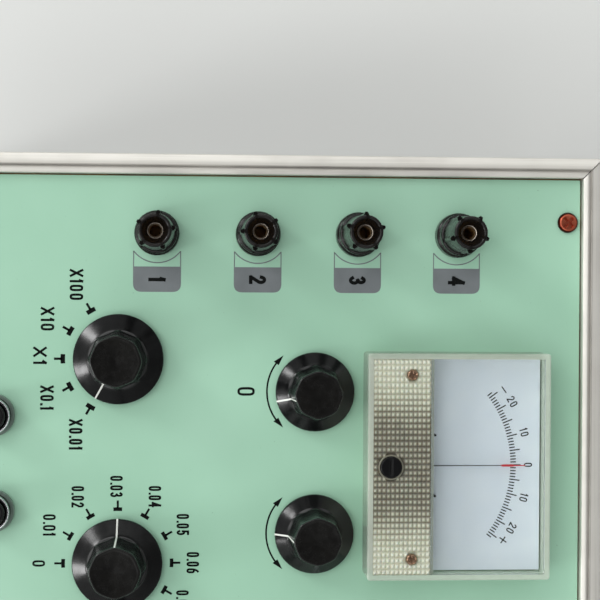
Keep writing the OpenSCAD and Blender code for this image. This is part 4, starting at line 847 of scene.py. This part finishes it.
red = new_finish("needle_paint")
reach = span(red, one_axis(red, "Y"), (pivot[1] + RED_FROM) * MM, (pivot[1] + RED_FULL) * MM)
colour(red, reach, [(0.0, (84, 88, 92)), (1.0, (196, 38, 52))])
roughness(red, noise(red, 500), 0.4, 0.55)

needle_low, needle_high = low_high("needle")
blade_r = np.array([-6, -4, 0, 2, 20, 36.3, 37.2, 40.6, 41.5, needle_high[1] - pivot[1]])
blade_w = np.array([0.9, 0.9, 1.4, 0.6, 0.36, 0.32, 0.78, 0.78, 0.4, 0.3])
blade = np.stack(np.broadcast_arrays(np.outer(blade_w, [0.5, -0.5]), blade_r[:, None], 0.2), -1)
hub = spun([(0, -0.5, 0), (2.2, -0.5, 0.1), (2.2, 0.5, 0.25), (0, 0.5, 0)], 48)
weight = spun([(0, -0.45, 0), (1.0, -0.45, 0.1), (1.0, 0.45, 0.2), (0, 0.45, 0)], 48)
needle = joined([slab(blade, 0.4), hub, moved(weight, 0, -5)])
make_piece("needle_blade", moved(needle, *pivot, (needle_low[2] + needle_high[2]) / 2), "needle_paint",
           "movement", ["needle"])

# %% [markdown]
# Two thin pins stand on the scale plate, one to each side of the needle, and stop it just past the end
# of the scale.

# %% needle stops
STOP_ASIDE, STOP_AHEAD, STOP_HIGH = 10.8, 12.8, 2.8
scale_top = low_high("scale_plate")[1][2]
stop_pin = spun([(0, 0, 0), (0.42, 0, 0.05), (0.42, STOP_HIGH, 0.2), (0, STOP_HIGH, 0)], 24)
stops = joined([moved(stop_pin, pivot[0] + side, pivot[1] + STOP_AHEAD, scale_top)
                for side in (-STOP_ASIDE, STOP_ASIDE)])
make_piece("needle_stops", stops, "knob_black", "case")

# %% [markdown]
# Printing is modelled as very thin solids on the surface that carries them. Lines are strips that
# follow a path. Flat signs are outlines, filled in.

# %% printing helpers
INK = 0.04


def stroke(path, width, z=panel_top, loop=False):
    """A strip along a path: each point is moved to both sides by half the width, square to the path."""
    path = np.asarray(path, float)
    ahead = np.roll(path, -1, 0) - np.roll(path, 1, 0) if loop else np.gradient(path, axis=0)
    side = np.stack([-ahead[:, 1], ahead[:, 0]], -1) / np.linalg.norm(ahead, axis=1, keepdims=True)
    edges = np.stack([path + side * width / 2, path - side * width / 2], 1)
    top = at_height(edges, z + INK)
    if loop:
        return grid(np.concatenate([top, (top - [0, 0, INK])[:, ::-1]], 1), round_rows=True)
    return slab(top, INK)


def oval(x, y, wide, high, heading):
    """Points round (x, y) at headings in degrees: x + wide cos and y + high sin."""
    a = np.radians(heading)
    return np.stack([x + wide * np.cos(a), y + high * np.sin(a)], -1)


def arc_path(x, y, r, start, end, points=40):
    """Points on a circle from one heading to another, in degrees."""
    return oval(x, y, r, r, np.linspace(start, end, points))


def ray_path(x, y, r_in, r_out, heading):
    """Two points on a ray from a middle."""
    return np.stack([oval(x, y, r, r, heading) for r in (r_in, r_out)])


def sheet(outline):
    """A flat outline on the panel with the ink's thickness."""
    return capped(np.stack([at_height(outline, z) for z in (panel_top, panel_top + INK)]))


# %% [markdown]
# The numerals are drawn as an engraver's pantograph does it, with one even line along a path. Each sign
# is a few straight lines and bends in a box one wide and one high. The box is then stretched to the
# size wanted, so narrow bold figures and light ones come from the same paths.

# %% numerals
def bend(x, y, wide, high, start, end):
    """Part of an ellipse about (x, y), from one angle to another in degrees."""
    return oval(x, y, wide, high, np.linspace(start, end, 12))


def boxy(x, y, wide, high, power=0.62):
    """A closed curve between an ellipse and a box: cosine and sine raised to a power, signs kept."""
    a = full_turn(32)
    across, upwards = (np.sign(w) * np.abs(w) ** power for w in (np.cos(a), np.sin(a)))
    return np.stack([x + wide * across, y + high * upwards], -1)


LOOP, HOOK = boxy(0.5, 0.3, 0.5, 0.3), bend(1.0, 0.3, 1.0, 0.7, 180, 108)  # the 6, and upside down the 9
TIMES = "\u00d7"
SIGNS = {  # width, closed paths, open paths
    "0": (0.5, [boxy(0.5, 0.5, 0.5, 0.5)], []),
    "1": (0.26, [], [[(0.9, 0), (0.9, 1)], [(0.9, 1), (0.1, 0.8)]]),
    "2": (0.5, [], [[*bend(0.5, 0.73, 0.5, 0.27, 170, -25), (0.0, 0.04)], [(0, 0), (1, 0)]]),
    "3": (0.5, [], [bend(0.46, 0.76, 0.44, 0.24, 150, -85), bend(0.48, 0.27, 0.52, 0.27, 85, -150)]),
    "4": (0.55, [], [[(0.76, 0), (0.76, 1)], [(0.76, 1), (0, 0.3)], [(0, 0.3), (1, 0.3)]]),
    "5": (0.5, [], [[(0.95, 1), (0.1, 1)], [(0.1, 1), (0.06, 0.5)], bend(0.47, 0.32, 0.53, 0.32, 130, -150)]),
    "6": (0.5, [LOOP], [HOOK]),
    "7": (0.5, [], [[(0, 1), (1, 1)], [(1, 1), (0.35, 0)]]),
    "8": (0.5, [boxy(0.5, 0.77, 0.44, 0.23), boxy(0.5, 0.27, 0.5, 0.27)], []),
    "9": (0.5, [1 - LOOP], [1 - HOOK]),
    ".": (0.1, [], [[(0.5, 0), (0.5, 0.01)]]),
    TIMES: (0.6, [], [[(0, 0), (1, 1)], [(0, 1), (1, 0)]]),
    "O": (0.6, [boxy(0.5, 0.5, 0.5, 0.5)], []),
    "N": (0.6, [], [[(0, 0), (0, 1)], [(0, 1), (1, 0)], [(1, 0), (1, 1)]]),
    "F": (0.5, [], [[(0, 0), (0, 1)], [(0, 1), (1, 1)], [(0, 0.52), (0.85, 0.52)]]),
}
LAYER = 0.004  # each stroke lies a little higher than the one before, so no two share a face
print("signs", len(SIGNS))


def lettering(text, x, y, high, long=None, z=panel_top, turn=0.0, weight=0.15, gap=0.14):
    """Signs in a row, `high` tall (and `long` wide), centred and turned. The line is weight x high wide."""
    line = weight * high
    widths = np.array([SIGNS[sign][0] for sign in text]) * high
    between = gap * high + line * 0.2
    row = widths.sum() + (len(text) - 1) * between
    stretch = 1.0 if long is None else long / row
    starts = (np.concatenate([[0], np.cumsum(widths + between)[:-1]]) - row / 2) * stretch
    c, s = math.cos(math.radians(turn)), math.sin(math.radians(turn))
    parts = []
    for sign, start, wide in zip(text, starts, widths * stretch):
        _, closed, opened = SIGNS[sign]
        box, corner = [max(wide - line, 0), high - line], [start + line / 2, (line - high) / 2]
        for k, path in enumerate(closed + opened):
            at = np.asarray(path, float) * box + corner
            if k >= len(closed):
                ends = at[[0, -1]] - at[[1, -2]]
                at[[0, -1]] += ends / np.linalg.norm(ends, axis=1, keepdims=True) * line * 0.5
            at = at @ np.array([[c, s], [-s, c]]) + [x, y]
            parts.append(stroke(at, line, z + LAYER * len(parts), k < len(closed)))
    return joined(parts)


# %% [markdown]
# Round each switch knob stand small T-shaped marks, their bars towards the knob, and the numbers that
# the knob's white line points at. Headings are measured from +X, anticlockwise seen from above. The two
# small knobs have an arc with an arrow at each end.

# %% panel legend
def t_mark(x, y, r, heading, stem, bar, half):
    """A short ray outwards from a radius, and a bar across its inner end, `half` degrees to each side."""
    return [stroke(ray_path(x, y, r, r + 2.9, heading), stem),
            stroke(arc_path(x, y, r - 0.2, heading - half, heading + half, 6), bar)]


def arrow_head(x, y, r, heading, ahead):
    """A triangle on a circle, its point `ahead` degrees further round."""
    ring = ((r - 1.1, heading), (r + 1.1, heading), (r, heading + ahead))
    return sheet([oval(x, y, q, q, at) for q, at in ring][::1 if ahead > 0 else -1])


legend = []
range_x, range_y = axis_at("range_turn")
for heading in (-150, -120, -90, -60, -30):
    legend += t_mark(range_x, range_y, 20.0, heading, 0.85, 1.6, 4.8)
FACTORS = {  # off the knob's axis, and the width of the sign
    "100": (-26.49, -15.09, 11.0), "10": (-14.23, -25.26, 8.35), "1": (-1.13, -27.84, 6.2),
    "0.1": (13.87, -25.31, 8.6), "0.01": (26.95, -15.07, 10.9),
}
for text, (dx, dy, long) in FACTORS.items():
    legend.append(lettering(TIMES + text, range_x + dx, range_y + dy, 4.8, long, weight=0.17))

step_x, step_y = axis_at("step_turn")
for k in range(11):
    heading = 270 - 30 * k
    text = "0" if k == 0 else "0.1" if k == 10 else "0.%02d" % k
    legend += t_mark(step_x, step_y, 19.5, heading, 0.75, 1.3, 4.6)
    spot = oval(step_x, step_y - 0.5, 27.4, 27.4, heading)
    legend.append(lettering(text, *spot, 4.5, 7.6 if len(text) == 4 else None, weight=0.16))

ARC, ARC_HALF, ARC_MIDDLE = 17.2, 37, -90  # radius, half its sweep and its heading
for knob in ("zero_turn", "sens_turn"):
    x, y = axis_at(knob)
    legend.append(stroke(arc_path(x, y, ARC, ARC_MIDDLE - ARC_HALF, ARC_MIDDLE + ARC_HALF), 0.6))
    legend.append(arrow_head(x, y, ARC, ARC_MIDDLE + ARC_HALF - 1, 13))
    legend.append(arrow_head(x, y, ARC, ARC_MIDDLE - ARC_HALF + 1, -13))
zero_x, zero_y = axis_at("zero_turn")
legend.append(lettering("0", zero_x, zero_y - 24.7, 6.2, weight=0.14))
legend.append(stroke(ray_path(slide_x, slide_y, 47.5, 52.5, 90), 0.9))
lever_x, lever_y = axis_at("power_flip")
for text, aside in (("OFF", -15), ("ON", 15)):
    legend.append(lettering(text, lever_x, lever_y + aside, 3.8, weight=0.14))
sockets_low, sockets_high = low_high("outer_sockets")
socket_y = (sockets_low[1] + sockets_high[1]) / 2
SOCKET_R = 6.7
for k, x in enumerate(np.linspace(sockets_low[0] + SOCKET_R, sockets_high[0] - SOCKET_R, 4)):
    legend.append(lettering(str(k + 5), x, socket_y - 12, 4.2))
make_piece("panel_legend", joined(legend), "print_black", "case")

# %% [markdown]
# Below each post a grey plate is printed, with a fine line up each side that ends in an arc round the
# post's base, and a bold number.

# %% post plates
HALF, ROUND = 8.55, 10.5  # half the plate's width, and the arc's radius
grey, lines, digits = [], [], []
for number, post in enumerate(POSTS, 1):
    x, y = middle(post + "_cap")
    front, start, end = x + 6.3, x + 11.9, x + 20.95
    plate = eased([(start, y - HALF, 0), (end, y - HALF, 3.0), (end, y + HALF, 3.0), (start, y + HALF, 0)],
                  8, loop=True)
    grey.append(sheet(plate))
    for side in (0.18 - HALF, HALF - 0.18):
        lines.append(stroke([(front, y + side), (start, y + side)], 0.35))
    sweep = math.degrees(math.asin((HALF - 0.2) / ROUND))
    lines.append(stroke(arc_path(x, y, ROUND, -sweep, sweep), 0.4))
    digits.append(lettering(str(number), x + 16.4, y, 6.2, z=panel_top + INK, weight=0.2))
make_piece("post_plates", joined(grey), "plate_grey", "case")
make_piece("post_plate_lines", joined(lines), "plate_grey", "case")
make_piece("post_numbers", joined(digits), "print_black", "case")

# %% [markdown]
# The scale is printed on a white plate under the cover: 26 divisions to each side of zero, every fifth
# longer, and numbers at the tens that stand upright on the arc. A minus and a plus mark the two ends.

# %% meter scale
DIVISION, LINE = 1.45, 0.4  # degrees from line to line, and a line's width
LINES_R, NUMBERS_R, ENDS_R = 40.3, 46.7, 46.4  # out from the pivot
marks = []
for k in range(-26, 27):
    long = 3.7 if k % 5 == 0 else 2.0
    marks.append(stroke(ray_path(*pivot, LINES_R, LINES_R + long, 90 - k * DIVISION), LINE, scale_top))
for k in (-20, -10, 0, 10, 20):
    spot = oval(*pivot, NUMBERS_R, NUMBERS_R, 90 - k * DIVISION)
    marks.append(lettering(str(abs(k)), *spot, 2.9, z=scale_top, turn=-k * DIVISION, weight=0.14, gap=0.2))
for side in (DIVISION, -DIVISION):
    marks.append(stroke(arc_path(*pivot, ENDS_R, 90 + 23.2 * side, 90 + 25.6 * side, 6), LINE, scale_top))
marks.append(stroke(ray_path(*pivot, ENDS_R - 1.5, ENDS_R + 1.5, 90 - 24.4 * DIVISION), LINE, scale_top))
make_piece("scale_marks", joined(marks), "print_black", "case")

# %% [markdown]
# The slide wire's dial turns with its knob, so its numbers ride on the same body. Fine lines stand on
# the flat of the disc, one to every 3 degrees.

# %% dial numbers
dial_face = low_high("slide_dial")[1][2]
dial_marks = []
for k in range(101):
    inside = 37.6 if k % 10 == 0 else 38.8 if k % 5 == 0 else 39.4
    dial_marks.append(stroke(ray_path(slide_x, slide_y, inside, 40.8, 240 - 3 * k), 0.3, dial_face))
for k in range(11):
    heading = 240 - 30 * k
    spot = oval(slide_x, slide_y, 34.3, 34.3, heading)
    dial_marks.append(lettering(str(k), *spot, 4.8, z=dial_face, turn=heading - 90, weight=0.13))
make_piece("slide_dial_marks", joined(dial_marks), "print_black", "slide_control")

# %% [markdown]
# Push buttons: a grey seat on the panel, a black barrel with a plated lip, and a black cap with a shallow
# hollow for the fingertip. The seat is the solid's own, a little narrower and cut off inside the barrel.

# %% buttons
CAP, BARREL_IN, BARREL_OUT = 5.0, 5.12, 6.45  # radii
NARROWER, SEAT_HIGH = 0.93, 2.6  # a share of the seat's radius, and its height
cap = spun([(0, -5.0, 0), (CAP, -5.0, 0.1), (CAP, 9.0, 1.0), (3.4, 8.9, 0.6), (0, 8.55, 0)], 72, steps=7)
for letter in "bg":
    part = moved(cap, *middle("button_" + letter), panel_top)
    make_piece("push_cap_" + letter, part, "knob_black", "push_" + letter,
               ["button_" + letter], crease=30)

button_at = np.array([middle("button_b"), middle("button_g")])
seat, *seat_faces = softened("button_housings")
nearest = button_at[np.linalg.norm(seat[:, None, :2] - button_at, axis=2).argmin(1)]
off_axis = seat[:, :2] - nearest
on_panel = (seat[:, 2] > panel_top - 0.05) & (np.linalg.norm(off_axis, axis=1) > BARREL_OUT)
seat[:, :2] = nearest + off_axis * np.where(on_panel, NARROWER, 1.0)[:, None]
seat[:, 2] = np.minimum(seat[:, 2], panel_top + SEAT_HIGH)
make_piece("button_seats", (seat, *seat_faces), "washer_grey", "case", ["button_housings"],
           soft=0.3, crease=30)


def two_rings(corners):
    """A ring turned from a closed section, once round each button."""
    ring = spun(corners, 96, loop=True, step=0.4)
    return joined([moved(ring, x, y, panel_top) for x, y in button_at])


barrels = two_rings([(BARREL_IN, 2.0, 0.05), (BARREL_OUT, 2.0, 0.05), (BARREL_OUT, 5.9, 0.05),
                     (BARREL_IN, 5.9, 0.05)])
make_piece("button_barrels", barrels, "barrel_black", "case", crease=50)
lips = two_rings([(BARREL_IN, 5.9, 0.05), (5.25, 6.5, 0.1), (5.55, 6.92, 0.08), (6.2, 7.2, 0.08),
                  (6.4, 7.2, 0.08), (6.55, 6.95, 0.1), (6.55, 5.9, 0.05)])
make_piece("button_rings", lips, "plated_steel", "case", crease=50)

# %% [markdown]
# Under each button a coil spring pushes the cap back up. Wound wire is a round tube along a helix: the
# angle and the height both grow evenly with the length.

# %% button springs
def coil(middle_r, wire_r, low, high, turns):
    """Rings of points along a helix: ring k lies at angle 2 pi turns k / n and rises from low to high."""
    share = np.linspace(0, 1, turns * 28 + 1)[:, None]
    winding, around = 2 * np.pi * turns * share, full_turn(10)[None, :]
    r = middle_r + wire_r * np.cos(around)
    z = low + wire_r + (high - low - 2 * wire_r) * share + wire_r * np.sin(around)
    return capped(np.stack([r * np.cos(winding), r * np.sin(winding), z], -1))


for letter in "bg":
    x, y = middle("button_" + letter)
    node = "button_" + letter + "_spring"
    spring_low, spring_high = (corner[2] for corner in low_high(node))
    winding = moved(coil(middle_r=3.8, wire_r=0.4, low=spring_low, high=spring_high, turns=5), x, y)
    spring = make_piece("return_coil_" + letter, winding, "plated_steel", "case", [node], crease=50)
    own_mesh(spring)

# %% [markdown]
# Many pieces only need their edges broken. For these the solid itself is the shape: its loose triangles
# are welded, flat ones merged, and a Bevel modifier rounds what is still sharp.

# %% pieces with softened edges
SOFT = {  # node: (new name, finish, body, slot, edge, crease)
    "edge_angles": ("edge_trim", "angle_metal", "case", "rim_metal", 0.35, 40),
    "rubber_feet": ("feet_and_bumpers", "rubber", "case", "rubber", 0.6, 30),
    "handle_brackets": ("handle_ears", "plated_steel", "case", "plated_steel", 0.35, 30),
    "handle_bail": ("carry_handle", "handle_black", "handle", "handle_black", 0.5, 40),
    "post_bushes": ("post_feet", "post_black", "case", "black_moulding", 0.5, 30),
    "outer_sockets": ("socket_collars", "post_black", "case", "black_moulding", 0.5, 30),
    "power_switch": ("switch_bush", "plated_steel", "case", "plated_steel", 0.25, 30),
    "zero_adjuster": ("adjuster_button", "knob_black", "adjuster", "black_moulding", 0.6, 30),
    "case_walls": ("case_sides", "case_skin", "case", "case_skin", 0.4, 40),
}
for node, (name, finish, body, slot, edge, crease) in SOFT.items():
    make_piece(name, softened(node), finish, body, [node], soft=edge, crease=crease)

# %% [markdown]
# The rest keep their solids and take a finish. Most lie inside the case, but the part may be opened or
# taken apart in another scene, so each gets the finish that the real piece has. The posts' studs are
# brass, lighter in the socket and on the thread, and painted dull brown on the end face: painted shade.

# %% finishes for the remaining solids
stud = new_finish("stud_brass", Metallic=0.3)
# The end face, deep in the cap's funnel, is painted darker than the brass below it: painted shade.
below = span(stud, one_axis(stud, "Z"), (stud_end - 0.4) * MM, stud_end * MM, 0.35, -0.35)
shade = reckon(stud, "ADD", noise(stud, 500, detail=4), below)
colour(stud, shade, [(0.2, (70, 56, 38)), (0.8, (186, 154, 108))])
roughness(stud, noise(stud, 300), 0.4, 0.6)

RENAMED = {"steel": "turned_steel", "copper": "copper_winding"}  # slot: finish, where the names differ
OWN = {"meter_base": "base_cream", "post_studs": "stud_brass"}  # nodes with a finish of their own
slot_of = {part["node"]: part["material_slot"] for part in frame["record"]["subparts"]}
kept_nodes = [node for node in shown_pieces() if node.name in frame["nodes"]]
for node in kept_nodes:
    slot = slot_of[node.name]
    for spot in node.material_slots:
        spot.material = finishes[OWN.get(node.name) or RENAMED.get(slot, slot)]
print("finishes on", len(kept_nodes), "solids")

# %% [markdown]
# The camera looks almost straight down, as the photo does: 3.7 degrees off, with the panel's left edge
# at the top of the picture. Two soft boxes stand low before the front edge, like a pair of windows, so
# they show in the knobs' skirts. The sky is dim straight above, where the camera stands, with a broad
# bright ring round it that leans to the front and left, and it is pale at the horizon as a backdrop.

# %% floor, light and camera
edge_to_edge = np.linspace(-6000, 6000, 3)
tiles = np.stack([*np.meshgrid(edge_to_edge, edge_to_edge), np.zeros((3, 3))], -1)
floor_mesh = new_mesh("studio_floor", grid(tiles, round_cols=False))
floor_finish = new_finish("floor_pale", Specular_IOR_Level=0.2)
colour(floor_finish, noise(floor_finish, 2.0), [(0.3, (226, 226, 224)), (0.7, (232, 232, 230))])
roughness(floor_finish, noise(floor_finish, 5.0), 0.8, 0.9)
floor_mesh.materials.append(floor_finish)
floor = bpy.data.objects.new("studio_floor", floor_mesh)
bpy.context.scene.collection.objects.link(floor)

WINDOWS = {"window_a": (-1.25, -1.57, 0.68), "window_b": (0.51, -1.84, 0.68)}  # places in metres
WINDOW_WIDE, WINDOW_HIGH, WINDOW_WATTS = 0.44, 0.66, 10.5
LIT_SPOT = Vector((-0.05, 0, 0.1))  # what both windows face
for name, at in WINDOWS.items():
    lamp = bpy.data.lights.new(name, "AREA")
    lamp.shape, lamp.size, lamp.size_y, lamp.energy = "RECTANGLE", WINDOW_WIDE, WINDOW_HIGH, WINDOW_WATTS
    holder = bpy.data.objects.new(name, lamp)
    bpy.context.scene.collection.objects.link(holder)
    holder.location = at
    holder.rotation_euler = (LIT_SPOT - Vector(at)).to_track_quat("-Z", "Y").to_euler()

SKY = [  # height on the sky from 0 at the horizon to 1 overhead, and brightness
    (0.0, 0.62), (0.04, 0.62), (0.1, 0.2), (0.5, 0.14), (0.62, 1.15), (0.83, 1.15), (0.94, 0.12), (1.0, 0.06),
]
SKY_LEAN = (0.25, 0.95, 0.0)  # high up, the sky is darker towards here and brighter towards the other side
world = bpy.data.worlds.new("studio")
bpy.context.scene.world = world
world.use_nodes = True
looking = add(world, "TexCoord").outputs["Generated"]
height = add(world, "SeparateXYZ", {"Vector": looking}).outputs["Z"]
sky = ramp(world, height, [(at, (light * 0.98, light, light * 0.99)) for at, light in SKY])
feed(world, "Color", sky, "Background")
across = add(world, "VectorMath", {0: looking, 1: SKY_LEAN}, operation="DOT_PRODUCT").outputs["Value"]
leaning = span(world, reckon(world, "MULTIPLY", across, height), -0.5, 0.5, 2.4, 0.4)
feed(world, "Strength", leaning, "Background")
bpy.context.scene.view_settings.view_transform = "Standard"

CAMERA_AT = (-0.10151, -0.01812, 0.66726)  # metres
PICTURE_RIGHT, PICTURE_UP = Vector((-0.00637, 0.99792, 0.06413)), Vector((-0.99996, -0.00597, -0.00641))
lens = bpy.data.cameras.new("photo_camera")
lens.sensor_width, lens.lens, lens.clip_start = 36.0, 93.36, 0.01
camera = bpy.data.objects.new("photo_camera", lens)
bpy.context.scene.collection.objects.link(camera)
turn = Matrix((PICTURE_RIGHT, PICTURE_UP, PICTURE_RIGHT.cross(PICTURE_UP))).transposed().to_4x4()
camera.matrix_world = Matrix.Translation(CAMERA_AT) @ turn
bpy.context.scene.camera = camera
print("lamps", *WINDOWS, "and a sky of", len(SKY), "steps")
